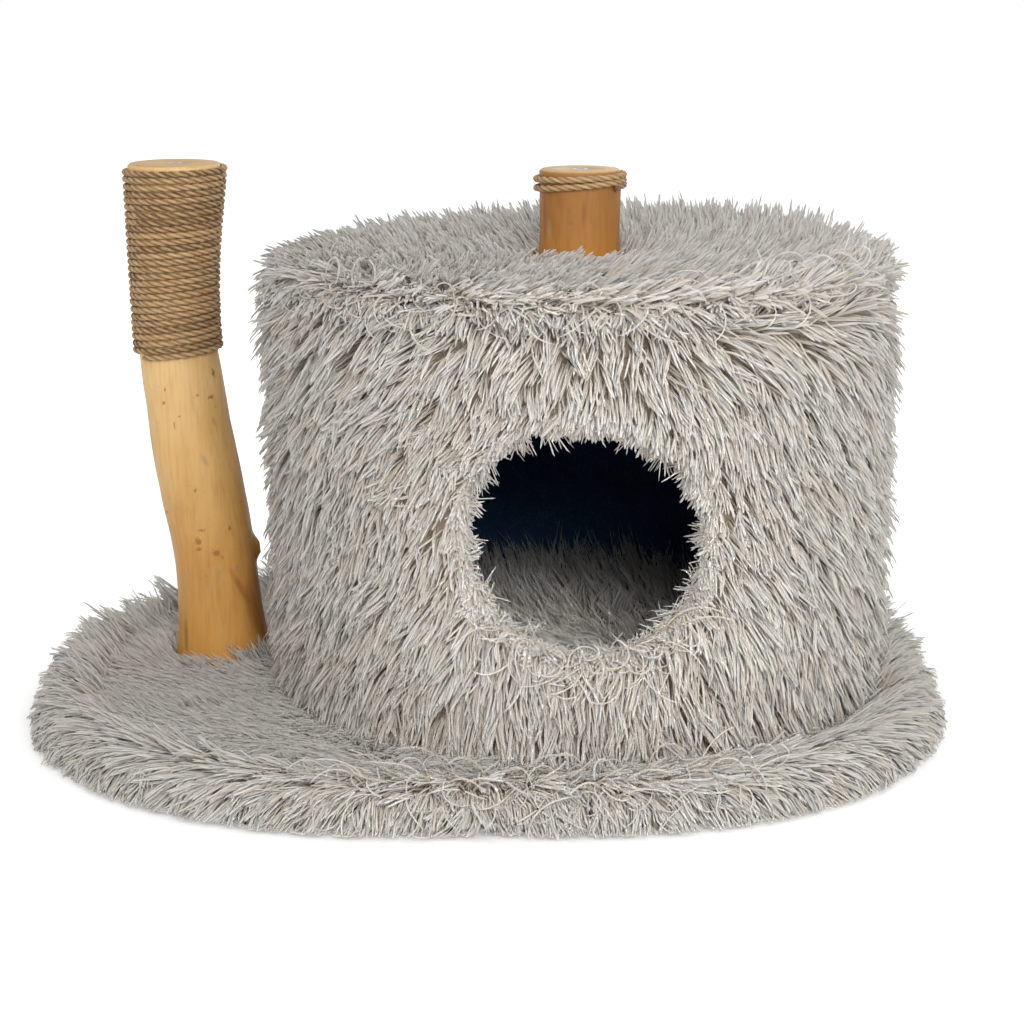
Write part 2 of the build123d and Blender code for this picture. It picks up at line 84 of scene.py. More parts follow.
house_x = middle("house_wall_plush")[0]
wall_radius = size_of("house_wall_plush")[0] / 2 - PLUSH_THICKNESS
lining_radius = size_of("house_lining")[0] / 2
house_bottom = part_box("house_wall_plush")[0].z
house_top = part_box("house_top_board")[1].z
house_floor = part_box("house_floor_plush")[0].z
house_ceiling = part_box("house_ceiling_lining")[1].z
door_radius = 105 * MM
door_height = house_bottom + DOOR_RISE
base_half = size_of("base_board")[:2] / 2
base_corner = 320 * MM
base_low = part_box("base_board")[0].z
base_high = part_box("base_board")[1].z
left_foot = middle("left_post_foot_insert")
print("house at x", round(house_x, 4), "wall radius", round(wall_radius, 4))
print("left trunk's foot", left_foot.round(4))

# %% [markdown]
# ## Mesh helpers
# A mesh here is always a grid of points worked out by a formula. `mesh_object` writes such arrays into
# a mesh, which is far quicker than adding points one by one. `grid_faces` joins the points of a grid
# into squares, and `finish_piece` gives a piece its material, puts it under the root body and hides the
# CAD node that it stands for.

# %% Points and faces
BAKE_MAP = "OFBake"
MERGE_GAP = 0.01 * MM


def mesh_object(name, points, face_sets, uv=None, smooth=True, merge=False):
    """New object from points and arrays of faces; each face array has its own number of corners.

    uv holds a place for each point or, where a map has a seam, for each corner. merge closes seams of
    equal points.
    """
    points = np.asarray(points, np.float32).reshape(-1, 3)
    corners = np.concatenate([faces.ravel() for faces in face_sets])
    sizes = np.concatenate([np.full(len(faces), faces.shape[1]) for faces in face_sets])
    starts = np.concatenate([[0], np.cumsum(sizes)[:-1]])
    mesh = bpy.data.meshes.new(name)
    mesh.vertices.add(len(points))
    mesh.vertices.foreach_set("co", points.ravel())
    mesh.loops.add(len(corners))
    mesh.loops.foreach_set("vertex_index", corners.astype(np.int32))
    mesh.polygons.add(len(sizes))
    mesh.polygons.foreach_set("loop_start", starts.astype(np.int32))
    mesh.polygons.foreach_set("use_smooth", np.full(len(sizes), smooth))
    if uv is not None:
        uv = np.asarray(uv, np.float32).reshape(-1, 2)
        layer = mesh.uv_layers.new(name=BAKE_MAP)
        layer.data.foreach_set("uv", (uv if len(uv) == len(corners) else uv[corners]).ravel())
    mesh.update(calc_edges=True)
    if merge:
        grown = bmesh.new()
        grown.from_mesh(mesh)
        bmesh.ops.remove_doubles(grown, verts=grown.verts, dist=MERGE_GAP)
        grown.to_mesh(mesh)
        grown.free()
    made = bpy.data.objects.new(name, mesh)
    bpy.context.scene.collection.objects.link(made)
    return made


def finish_piece(made, material, node=None):
    """Gives a piece its material, puts it under the root body, and hides the CAD node that it stands for."""
    made.data.materials.append(material)
    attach(made, "root")
    if node:
        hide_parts(node)


def grid_faces(rows, columns):
    """Squares between neighbouring points of a grid of rings: the last column joins the first."""
    row = np.arange(rows - 1)[:, None]
    column = np.arange(columns)[None, :]
    next_column = (column + 1) % columns
    corners = (row, column), (row, next_column), (row + 1, next_column), (row + 1, column)
    return np.stack([along * columns + across for along, across in corners], axis=-1).reshape(-1, 4)


def facing(points, faces, away_from, sign=1.0):
    """Faces turned as one: away from a point, or towards it where sign is -1."""
    points = points.reshape(-1, 3)
    first, second, third = (points[faces[:, corner]] for corner in range(3))
    normal = np.cross(second - first, third - first)
    outward = (normal * (first - away_from)).sum() * sign
    return faces if outward > 0 else faces[:, ::-1]


# %% Arithmetic on arrays
WAVE_TERMS = 6
WAVE_SIZES = (0.7, 1.6)


def unit(vectors):
    """Vectors scaled to length one."""
    return vectors / np.maximum(np.linalg.norm(vectors, axis=-1, keepdims=True), 1e-9)


def level(x, y):
    """Vectors in the plane of the floor."""
    return np.stack([x, y, np.zeros_like(x)], axis=-1)


def at_turn(reach, turn):
    """Flat places at a reach from the middle: reach times the cosine and the sine of the turn."""
    return np.stack([reach * np.cos(turn), reach * np.sin(turn)], axis=1)


def held(value):
    """Values held between nought and one."""
    return np.clip(value, 0, 1)


def waves(points, size, seed):
    """Smooth noise of about -1 to 1: a sum of cosines along random ways, with waves about one size long."""
    rng = np.random.default_rng(seed)
    heading = unit(rng.normal(0, 1, (WAVE_TERMS, points.shape[-1])))
    wave = 2 * np.pi / (size * rng.uniform(*WAVE_SIZES, WAVE_TERMS))
    phase = rng.uniform(0, 2 * np.pi, WAVE_TERMS)
    return np.cos(points @ heading.T * wave + phase).sum(-1) / math.sqrt(WAVE_TERMS)


# %% [markdown]
# ## Shader helpers
# A material is a small net of nodes. `add_node` adds one node with its own settings, and `connect`
# fills its inputs: a value is typed in, and a socket is linked. `hex_colour` turns a colour as a
# painter picks it, sRGB, into the linear light that Blender needs. The nodes that every material uses
# have a short function each, which returns the node's output.

# %% Nodes and colours


def hex_colour(text):
    """Linear RGBA of an sRGB hex colour."""
    value = np.array([int(text[i : i + 2], 16) for i in (1, 3, 5)]) / 255
    linear = np.where(value <= 0.04045, value / 12.92, ((value + 0.055) / 1.055) ** 2.4)
    return (*linear.tolist(), 1.0)


def connect(tree, node, inputs):
    """Fills a node's inputs: sockets are linked, and anything else is set as a value."""
    for socket, value in inputs.items():
        if isinstance(value, bpy.types.NodeSocket):
            tree.links.new(value, node.inputs[socket])
        else:
            node.inputs[socket].default_value = value


def add_node(tree, kind, inputs=None, stops=(), **settings):
    """New shader node: settings are its own fields, and stops are a ramp's places and hex colours."""
    made = tree.nodes.new(kind)
    for field, value in settings.items():
        setattr(made, field, value)
    connect(tree, made, inputs or {})
    for index, (place, colour) in enumerate(stops):
        elements = made.color_ramp.elements
        element = elements[index] if index < len(elements) else elements.new(place)
        element.position = place
        element.color = hex_colour(colour)
    return made


def calculated(tree, operation, *values):
    """Output of a sum with sockets or numbers."""
    return add_node(tree, "ShaderNodeMath", dict(enumerate(values)), operation=operation).outputs[0]


def mapped(tree, value, source, result=(0.0, 1.0)):
    """Output of a value moved from one range to another, and held there."""
    limits = {"From Min": source[0], "From Max": source[1], "To Min": result[0], "To Max": result[1]}
    return add_node(tree, "ShaderNodeMapRange", {"Value": value, **limits}).outputs[0]


def noise(tree, place, size, **inputs):
    """Output of a noise texture whose blotches are about one size long."""
    scaled = {"Vector": place, "Scale": 1 / size, **inputs}
    return add_node(tree, "ShaderNodeTexNoise", scaled).outputs["Fac"]


def ramp(tree, value, stops):
    """Output of a colour ramp."""
    return add_node(tree, "ShaderNodeValToRGB", {"Fac": value}, stops).outputs[0]


def blended(tree, factor, below, above, blend="MIX"):
    """Output of one colour laid over another."""
    layers = {"Factor": factor, "A": below, "B": above}
    return add_node(tree, "ShaderNodeMix", layers, data_type="RGBA", blend_type=blend).outputs["Result"]


def new_material(name, roughness):
    """Empty material with one principled shader; returns it, its tree and that shader."""
    made = bpy.data.materials.new(name)
    made.use_nodes = True
    shader = made.node_tree.nodes["Principled BSDF"]
    shader.inputs["Roughness"].default_value = roughness
    return made, made.node_tree, shader


# %% [markdown]
# ## Camera, floor and light
# The camera stands where the photo was taken from: 2.2 m in front, 0.7 m up, tilted down by 13.3
# degrees, with a long lens. The floor and the world glow white only where they are seen, directly or in
# a reflection, so that the white needs no more light on the object. A softbox behind the camera, a
# little to the right, lights the walls more than the tops and falls into the doorway. Two wide ones at
# the sides soften its shadows, a weak one behind keeps the back from going dark, and a narrow beam
# helps on the floor behind the doorway.

# %% Camera
CAMERA_PLACE = (0.0224, -2.2, 0.7058)
CAMERA_TILT = 13.314
SENSOR_WIDTH = 36.0
LENS = 85.1
FAR_CLIP = 50.0
camera = bpy.data.objects.new("camera", bpy.data.cameras.new("camera"))
bpy.context.scene.collection.objects.link(camera)
camera.location = CAMERA_PLACE
camera.rotation_euler = (math.radians(90 - CAMERA_TILT), 0, 0)
camera.data.sensor_width = SENSOR_WIDTH
camera.data.lens = LENS
camera.data.clip_end = FAR_CLIP
bpy.context.scene.camera = camera
bpy.context.scene.view_settings.view_transform = "Standard"

# %% Floor and world
FLOOR_SIDE = 12.0
FLOOR_FADE = (0.37, 0.62)
FLOOR_GLOW = (0.24, 0.66)
WORLD_LIGHT = 0.56


def seen_directly(tree):
    """One for rays from the camera, and for those that a mirror or glass sends on; zero for light."""
    path = add_node(tree, "ShaderNodeLightPath").outputs
    shown = path["Is Camera Ray"]
    for sent_on in ("Is Glossy Ray", "Is Transmission Ray"):
        shown = calculated(tree, "MAXIMUM", shown, path[sent_on])
    return shown


def white_floor():
    """Wide square floor: white paper that glows a little towards the camera, less close to the object."""
    corners = np.array([[-1, -1, 0], [1, -1, 0], [1, 1, 0], [-1, 1, 0]]) * FLOOR_SIDE
    floor = mesh_object("floor", corners, [np.array([[0, 1, 2, 3]])], smooth=False)
    material, tree, shader = new_material("white_paper_floor", 1.0)
    connect(tree, shader, {"Base Color": hex_colour("#f4f4f4"), "Specular IOR Level": 0.0})
    place = add_node(tree, "ShaderNodeTexCoord").outputs["Object"]
    away = add_node(tree, "ShaderNodeVectorMath", {0: place}, operation="LENGTH").outputs["Value"]
    glow = calculated(tree, "MULTIPLY", seen_directly(tree), mapped(tree, away, FLOOR_FADE, FLOOR_GLOW))
    emission = add_node(tree, "ShaderNodeEmission", {"Strength": glow})
    both = add_node(tree, "ShaderNodeAddShader", {0: shader.outputs[0], 1: emission.outputs[0]})
    connect(tree, tree.nodes["Material Output"], {"Surface": both.outputs[0]})
    floor.data.materials.append(material)


def white_world():
    """White all round: full white to the camera, a soft even light to the object."""
    world = bpy.data.worlds.new("white_room")
    world.use_nodes = True
    tree = world.node_tree
    strength = mapped(tree, seen_directly(tree), (0.0, 1.0), (WORLD_LIGHT, 1.0))
    connect(tree, tree.nodes["Background"], {"Strength": strength, "Color": (1, 1, 1, 1)})
    bpy.context.scene.world = world


white_floor()
white_world()

# %% Softboxes


def softbox(name, place, target, side, power, spread=180.0):
    """Square area lamp at a place, facing a target; spread is the width of its beam in degrees."""
    lamp = bpy.data.objects.new(name, bpy.data.lights.new(name, "AREA"))
    lamp.data.shape = "SQUARE"
    lamp.data.size = side
    lamp.data.energy = power
    lamp.data.spread = math.radians(spread)
    bpy.context.scene.collection.objects.link(lamp)
    lamp.location = place
    way = np.array(target) - np.array(place)
    flat = math.hypot(way[0], way[1])
    lamp.rotation_euler = (math.atan2(flat, -way[2]), 0, math.atan2(way[1], way[0]) - math.pi / 2)


softbox("front_softbox", (0.5, -2.9, 1.6), (0.05, 0, 0.2), 1.1, 42)
softbox("right_softbox", (2.1, -2.0, 1.0), (0, 0, 0.2), 1.6, 16)
softbox("left_softbox", (-1.8, -2.4, 1.2), (0, 0, 0.2), 1.6, 14)
softbox("back_softbox", (0.9, 2.6, 1.6), (0, 0, 0.2), 1.6, 10)
softbox("doorway_beam", (0.5, -2.2, 1.25), (0.05, -0.15, 0.12), 0.3, 0.11, spread=10.0)
print("camera, floor and light ready")

# %% [markdown]
# ## How the pile is made
# Real plush is a knit that holds tufts of long fibres. The fibres of a tuft leave the knit together,
# lean with the combing of the cloth, droop, and meet at the tip. A particle system would draw that, but
# an exported part needs real faces, so each strand is a thin closed spike with three sides and a blunt
# end. A tuft is a bent middle line, and its strands are copies of that line, drawn together a little
# towards the tip.

# %% Spots, faces and map of strands
SPIKE_SIDES = 3
TONES = 64


def spread_spots(count, seed):
    """Even, unordered spots in the unit square: the plastic-number sequence with a random start."""
    plastic = 1.32471795724474602596
    start = np.random.default_rng(seed).uniform(0, 1, 2)
    index = np.arange(1, count + 1)[:, None]
    return (start + index * np.array([1 / plastic, 1 / plastic**2])) % 1


def spike_faces(count, rings):
    """Faces of spikes in a row: squares between their rings, a point at the tip, a cap at the root."""
    each = rings * SPIKE_SIDES + 1
    strip = grid_faces(rings, SPIKE_SIDES)
    corner = np.arange(SPIKE_SIDES)
    last = (rings - 1) * SPIKE_SIDES + corner
    tip = np.stack([last, np.roll(last, -1), np.full(SPIKE_SIDES, each - 1)], axis=1)
    cap = corner[None, ::-1]
    first = (np.arange(count) * each)[:, None, None]
    return [(first + faces[None]).reshape(-1, faces.shape[1]) for faces in (strip, tip, cap)]


def spike_map(tone, shares):
    """Map of spikes: a strand's tone picks a narrow column, and the strand runs up it from root to tip."""
    rings = len(shares) - 1
    along = np.concatenate([np.repeat(shares[:-1], SPIKE_SIDES), [1.0]])
    across = np.concatenate([np.tile(np.arange(SPIKE_SIDES) / SPIKE_SIDES, rings), [0.5]])
    column = np.floor(tone * TONES) / TONES
    place = column[:, None] + (0.2 + 0.6 * across[None]) / TONES
    return np.stack([place, np.broadcast_to(along, place.shape)], axis=-1)


# %% Strands from arrays
SPIKE_FLATNESS = 0.7
# Places along a strand, and its width there as a share of its full width
SPIKE_SWELL = np.array([(0.0, 0.75), (0.4, 1.0), (0.91, 0.88), (1.0, 0.0)])
STRAND_SHARES = np.array([0.0, 0.45, 0.91, 1.0])
NAP_SHARES = np.array([0.0, 0.6, 1.0])
ROLL_TILT = 0.35
OWN_NORMAL = 0.28


def spikes(name, centre, out, roll, width, tone, shares=STRAND_SHARES, own=OWN_NORMAL):
    """Closed three-sided spikes round middle lines; centre has the shape (strands, points of a line, 3).

    shares are the places of a line's points from root to tip. Each point but the last has a ring of
    three points, nearly as wide close to the tip as in the middle, so that the strand ends bluntly, and
    the last is the tip. Light passes from strand to strand in real pile, so the shading normals are turned
    most of the way to the cloth's way out, and only the share that own gives stays the strand's own.
    """
    count, rings = centre.shape[0], centre.shape[1] - 1
    way = unit(np.gradient(centre, shares, axis=1))
    turned = np.stack([np.cos(roll), np.sin(roll), np.full_like(roll, ROLL_TILT)], axis=-1)[:, None, :]
    side = unit(np.cross(way, turned))
    up = np.cross(way, side)
    swell = np.interp(shares, *SPIKE_SWELL.T)[:-1]
    angle = np.arange(SPIKE_SIDES) * 2 * np.pi / SPIKE_SIDES
    half = (width / 2)[:, None, None, None] * swell[None, :, None, None]
    outward = (
        np.cos(angle)[None, None, :, None] * side[:, :-1, None, :]
        + SPIKE_FLATNESS * np.sin(angle)[None, None, :, None] * up[:, :-1, None, :]
    )
    ring = centre[:, :-1, None, :] + half * outward
    points = np.concatenate([ring.reshape(count, -1, 3), centre[:, -1:, :]], axis=1)
    normals = np.concatenate([outward.reshape(count, -1, 3), way[:, -1:, :]], axis=1)
    normals = unit(normals * own + out[:, None] * (1 - own))
    made = mesh_object(name, points, spike_faces(count, rings), spike_map(tone, shares))
    made.data.normals_split_custom_set_from_vertices(normals.reshape(-1, 3))
    finish_piece(made, plush_fibre)
    triangles = count * (2 * SPIKE_SIDES * (rings - 1) + SPIKE_SIDES + 1)
    print(f"{name}: {count} strands, {triangles} triangles")
    return made


# %% [markdown]
# ## One tuft rule for every surface
# `pile` grows tufts on any surface. The surface is given as a function from two lengths on the cloth to
# a point, the way out of the cloth and the combed way. Each strand starts along a lean between out and
# comb, and ends along the hang of the tuft: `point(s) = root + length (start (s - s²/2) + end s²/2)`,
# less the part of its own offset in the tuft that the gathering takes away, plus a little stray of its
# own, and more where it is wild. Places on the cloth are in metres. Strands are given in mm, and lift
# and hang in degrees from the cloth, so in the sums of later cells each number is what a place on the
# cloth adds to them.

# %% Growing pile
TUFT_LENGTHS = (0.82, 1.18)
STRAND_LENGTHS = (0.7, 1.08)
LIFT_SPREAD = 9
HANG_SPREAD = 8
WILD_STRAY = 3.0


def pile(name, surface, spots, seed, tuft=6, spread=4.0, length=36.0, lift=60.0, hang=12.0, gather=0.35,
         stray=1.3, veer=0.12, width=(1.9, 3.2), wild=0.05, keep_out=None, settle=0.0, clear=None,
         shares=STRAND_SHARES, own_normal=OWN_NORMAL):
    """Tufts of strands on a surface, by the rule above, each tuft and strand a little different.

    spots are the tufts' middles on the cloth. length, lift, hang and settle may be arrays, one value a tuft.
    keep_out says which spots have no cloth, and clear moves points out of what the strands may not enter.
    shares and own_normal go to the spikes.
    """
    rng = np.random.default_rng(seed)
    count = len(spots)
    mid_root, mid_out, mid_comb = surface(spots)
    length = length * rng.uniform(*TUFT_LENGTHS, count) * MM
    lift = np.radians(lift + rng.normal(0, LIFT_SPREAD, count))[:, None]
    hang = np.radians(hang + rng.normal(0, HANG_SPREAD, count))[:, None]
    aside = unit(np.cross(mid_out, mid_comb))
    turn = rng.normal(0, veer, (2, count, 1))
    turns = turn[0], turn[0] + 1.4 * turn[1]
    first, last = (mid_comb * np.cos(way) + aside * np.sin(way) for way in turns)
    start = mid_out * np.sin(lift) + first * np.cos(lift)
    end = unit(mid_out * np.sin(hang) + last * np.cos(hang) - settle * UP)

    own = (spots[:, None, :] + rng.normal(0, spread * MM, (count, tuft, 2))).reshape(-1, 2)
    each = np.repeat(np.arange(count), tuft)
    kept = np.full(len(own), True) if keep_out is None else ~keep_out(own)
    own, each = own[kept], each[kept]
    root = surface(own)[0]
    strands = len(own)
    reach = (length[each] * rng.uniform(*STRAND_LENGTHS, strands))[:, None]
    drawn = (root - mid_root[each]) * rng.uniform(0.6, 1.1, strands)[:, None] * gather
    loose = rng.normal(0, stray * MM, (strands, 3))
    loose = loose * np.where(rng.uniform(0, 1, (strands, 1)) < wild, WILD_STRAY, 1.0)
    share = shares[None, :, None]
    bent = start[each, None] * (share - share**2 / 2) + end[each, None] * share**2 / 2
    line = root[:, None] + reach[:, None] * bent
    centre = line - drawn[:, None] * share**1.2 + loose[:, None] * share**1.5
    if clear is not None:
        centre = clear(centre)
    roll = rng.uniform(0, 2 * np.pi, strands)
    thick = rng.uniform(*width, strands) * MM
    tone = rng.normal(0.5, 0.22, strands) + 0.1 * rng.normal(0, 1, count)[each]
    return spikes(name, centre, mid_out[each], roll, thick, np.clip(tone, 0.0, 0.999), shares, own_normal)


def pile_in_parts(name, surface, spots, seed, place, parts, each, **settings):
    """Pile cut into parts, so that no piece has too many triangles; each holds what has one value a tuft.

    place runs from nought to one over the cloth, and each equal stretch of it is a part.
    """
    number = np.floor(place * parts)
    return [
        pile(f"{name}_{part}", surface, spots[number == part], seed + part,
             **{key: value[number == part] for key, value in each.items()}, **settings)
        for part in range(parts)
    ]


# %% [markdown]
# ## Loose curls
# Here and there a strand has come loose and curled up on the pile. A few hundred of them break up the
# combed look. Each is a spike with more points, along a line that turns evenly.

# %% Curled strands
CURL_SHARES = np.linspace(0, 1, 11)
CURL_LENGTHS = (0.75, 1.2)


def curls(name, surface, spots, seed, length=60.0, lift=60.0, turns=(0.15, 0.65), depth=15.0,
          width=(1.3, 2.2), clear=None):
    """Loose single strands on the pile: each turns evenly, by some part of a full circle, as it grows.

    Middle line: length times the sum of forth cos(a) + aside sin(a), with a = lift - 2 pi turns s; aside is
    turned a little out of the cloth, and the strand rises by the depth of the pile, 1 - (1 - s)^4 of it.
    """
    rng = np.random.default_rng(seed)
    count = len(spots)
    root, out, comb = surface(spots)
    heading = rng.uniform(-1.3, 1.3, count)[:, None]
    across = unit(np.cross(out, comb))
    forth = comb * np.cos(heading) + across * np.sin(heading)
    aside = across * np.cos(heading) - comb * np.sin(heading)
    hand = rng.choice([-1.0, 1.0], count)[:, None]
    aside = unit(aside * hand + out * rng.uniform(0.2, 0.9, count)[:, None])
    first = np.radians(lift + rng.normal(0, 15, count))[:, None]
    whole = 2 * np.pi * rng.uniform(*turns, count)[:, None]
    reach = rng.uniform(*CURL_LENGTHS, count)[:, None] * length * MM
    angle = first - whole * CURL_SHARES
    forward = (np.sin(first) - np.sin(angle)) / whole * reach
    upward = (np.cos(angle) - np.cos(first)) / whole * reach
    rise = depth * MM * out[:, None] * (1 - (1 - CURL_SHARES) ** 4)[:, None]
    centre = root[:, None] + forward[..., None] * forth[:, None] + upward[..., None] * aside[:, None] + rise
    if clear is not None:
        centre = clear(centre)
    thick = rng.uniform(*width, count) * MM
    roll = rng.uniform(0, 2 * np.pi, count)
    tone = rng.uniform(0.2, 0.85, count)
    return spikes(name, centre, out, roll, thick, tone, CURL_SHARES)


# %% [markdown]
# ## What strands may not enter
# Strands lie on wood and boards and don't sink into them. The simplest rule that holds for every pile
# is to move the points of a middle line: up to a height, or level, away from a round trunk or back
# inside a round wall.

# %% Keeping strands clear


def no_lower(height):
    """A rule that lays strands on whatever is at a height, instead of letting them sink into it."""

    def lay(points):
        points[..., 2] = np.maximum(points[..., 2], height)
        return points

    return lay


def set_beside(points, axis, radius, limit=np.maximum):
    """Moves points level, so that they are no nearer to an upright axis than a radius.

    With np.minimum as its limit, it keeps them no further away instead.
    """
    offset = points[..., :2] - axis
    reach = np.linalg.norm(offset, axis=-1, keepdims=True)
    points[..., :2] += offset * (limit(radius, reach) / np.maximum(reach, 1 * MM) - 1)
    return points


# %% [markdown]
# ## The fibre and the knit
# The plush is polyester: long, smooth, slightly glossy fibre, dyed warm grey. It is darker and browner
# near the knit, where light is lost between fibres, and palest at the tips. The map gives each strand
# its own tone across and its place from root to tip along, so two colour ramps do the work of a painted
# picture. The knit under it is a brown-grey jersey that only shows where the pile parts, and the felts
# of the lining and the underlay are knits of the same kind in dark dyes.

# %% Polyester plush
STITCH = 2.2 * MM
MOTTLE = 12 * MM
FIBRE_TONES = [(0.0, "#ded4c9"), (0.35, "#ede9e3"), (0.7, "#f8f7f5"), (1.0, "#ffffff")]


def polyester_fibre(name, root, body, tip):
    """Polyester fibre: brown-grey root, warm grey body, pale tip, light that soaks through, a soft sheen."""
    material, tree, shader = new_material(name, 0.62)
    place = add_node(tree, "ShaderNodeUVMap", uv_map=BAKE_MAP)
    split = add_node(tree, "ShaderNodeSeparateXYZ", {0: place.outputs[0]}).outputs
    along = ramp(tree, split["Y"], [(0.0, root), (0.5, body), (0.88, tip), (1.0, tip)])
    tone = ramp(tree, split["X"], FIBRE_TONES)
    connect(tree, shader, {
        "Base Color": blended(tree, 1.0, along, tone, "MULTIPLY"),
        "Subsurface Weight": 0.7,
        "Subsurface Radius": (1.0, 0.92, 0.84),
        "Subsurface Scale": 2.5 * MM,
        "Specular IOR Level": 0.2,
        "Sheen Weight": 0.2,
        "Sheen Roughness": 0.5,
    })
    return material


def jersey_knit(name, dark, pale):
    """Knit backing or felt: rows of small loops, matt, with a faint mottle from the dye."""
    material, tree, shader = new_material(name, 0.95)
    place = add_node(tree, "ShaderNodeTexCoord").outputs["Object"]
    mottle = noise(tree, place, MOTTLE, Detail=3.0)
    cells = {"Vector": place, "Scale": 1 / STITCH}
    loops = add_node(tree, "ShaderNodeTexVoronoi", cells).outputs["Distance"]
    colour = ramp(tree, calculated(tree, "MULTIPLY", mottle, loops), [(0.0, dark), (0.6, pale)])
    bump = add_node(tree, "ShaderNodeBump", {"Height": loops, "Strength": 0.5, "Distance": 0.4 * MM})
    connect(tree, shader, {"Base Color": colour, "Normal": bump.outputs[0], "Specular IOR Level": 0.1})
    return material


plush_fibre = polyester_fibre("polyester_plush_fibre", "#c1b3a2", "#dad2c9", "#e3ddd6")
CLOTHS = {
    "plush": jersey_knit("polyester_plush_knit", "#8d8071", "#b0a392"),
    "lining_felt": jersey_knit("dark_lining_felt", "#20344f", "#355374"),
    "underlay_felt": jersey_knit("dark_underlay_felt", "#26282a", "#3b3d3f"),
}

# %% Cloth pieces
BACKING = 2 * MM


def cloth(name, node, points, faces, thick, flat, area, slot, pieces=()):
    """A sheet: a grid on the face that it lies on, with a thickness along its normals and a cut size."""
    made = mesh_object(name, points, [faces], merge=True)
    shell = made.modifiers.new("thickness", "SOLIDIFY")
    shell.thickness = thick
    shell.offset = 1.0
    finish_piece(made, CLOTHS[slot], node)
    print(f"{name}: cut {flat[0]:.3f} by {flat[1]:.3f} m, {area:.3f} square metres")


# %% [markdown]
# ## House wall
# The wall plush is a sheet round the hardboard, with a hole at the doorway and its edge turned in. A
# spot on it is measured along the wall from the doorway's middle, and up from the floor. The pile is
# combed down and fans out from the middle of the front. Near the top edge it stands out and up, so that
# the edge looks round and full, and by the doorway it is short. At the right of the front it parts a
# little below the top edge: what grows above the parting is brushed up and to the right. All this could
# be combed by hand with brush tools, but a formula for the combed way can be read, changed and run
# again.

# %% Combing of the wall
EDGE_FULLNESS = 45 * MM
PARTING_DROP = 17 * MM
PARTING_WIDTH = 16 * MM
PARTING_REACH = 35 * MM
cloth_radius = wall_radius + BACKING
girth = 2 * np.pi * cloth_radius
base_pile_floor = base_high + 6 * MM


def on_wall(radius, angle, height):
    """Point on an upright cylinder round the house; angles start at the doorway and grow to the right."""
    x, y = house_x + radius * np.sin(angle), -radius * np.cos(angle)
    return np.stack([x, y, np.broadcast_to(height, angle.shape)], axis=-1)


def from_door(spot):
    """Distance on the wall from the doorway's middle; far away at the back."""
    across = cloth_radius * np.sin(np.clip(spot[..., 0] / cloth_radius, -np.pi / 2, np.pi / 2))
    return np.hypot(across, spot[..., 1] - door_height)


def at_corner(right, up):
    """Nought round the doorway, growing to one at its upper left, where the pile is cut shortest."""
    return np.exp(-(((np.arctan2(up, right) - 2.4) / 0.55) ** 2))


def near_top(height):
    """Nought on the wall, growing to one at its top edge."""
    return held((height - house_top) / EDGE_FULLNESS + 1)


def swept_up(angle):
    """Nought round the house, growing to one at the right of its front, where the pile is brushed up."""
    return held((angle - 0.25) / 0.35) * held((1.75 - angle) / 0.45)


def above_parting(angle, height):
    """How far a spot of the wall is above the parting that lies below the top edge: nought to one."""
    return swept_up(angle) * held((height - house_top + PARTING_DROP) / PARTING_WIDTH + 0.5)


def wall_surface(spot):
    """Wall cloth: along the wall from the doorway's middle, and height."""
    along, height = spot[..., 0], spot[..., 1]
    angle = along / cloth_radius
    point = on_wall(cloth_radius, angle, height)
    out = unit(level(np.sin(angle), -np.cos(angle)) + UP * 0.6 * near_top(height)[..., None])
    aside = level(np.cos(angle), np.sin(angle))
    front = np.exp(-((along / 0.45) ** 2))
    upper = (height - house_bottom) / (house_top - house_bottom)
    fan = 0.42 * np.tanh(along / 0.13) * front * (0.35 + 0.65 * upper)
    edge = np.exp(-np.maximum(from_door(spot) - door_radius, 0) / 0.025)
    inwards = -0.3 * np.sign(along) * edge * held(1.2 - np.abs(height - door_height) / 0.1)
    parted = -1.1 * edge * at_corner(along, height - door_height)
    sideways = fan + inwards + parted + 0.22 * waves(spot, 0.15, 11) + 0.14 * waves(spot, 0.045, 12)
    by_parting = held(1 - np.abs(house_top - PARTING_DROP - height) / PARTING_REACH)
    sideways = sideways + 0.8 * swept_up(angle) * by_parting
    brushed = above_parting(angle, height)
    return point, out, unit(aside * sideways[..., None] - UP * (1 - 2 * brushed)[..., None])


# %% Wall pile
WALL_TUFTS = 6900
WALL_PARTS = 4
THINNING = 4
# Tufts above the first share of the height start at the second one, and both stretches are scaled to fit
TOP_STRETCH = (0.88, 0.86, 1.17, 0.977)


def in_doorway(spot):
    """Whether a spot of the wall cloth is cut away."""
    return from_door(spot) < door_radius - 3 * MM


def wall_spots():
    """Middles of the wall's tufts: a little wider apart near the top edge, and fewer round the back."""
    height = house_top - house_bottom
    spots = spread_spots(WALL_TUFTS, 21)
    knee, moved_to, above, below = TOP_STRETCH
    rise = spots[:, 1]
    spots[:, 1] = np.where(rise > knee, moved_to + above * (rise - knee), rise * below)
    spots = (spots - [0.5, 0]) * [girth, height] + [0, house_bottom]
    thinned = (np.abs(spots[:, 0]) > girth / 4) & (np.arange(WALL_TUFTS) % THINNING == 0)
    return spots[~in_doorway(spots) & ~thinned]


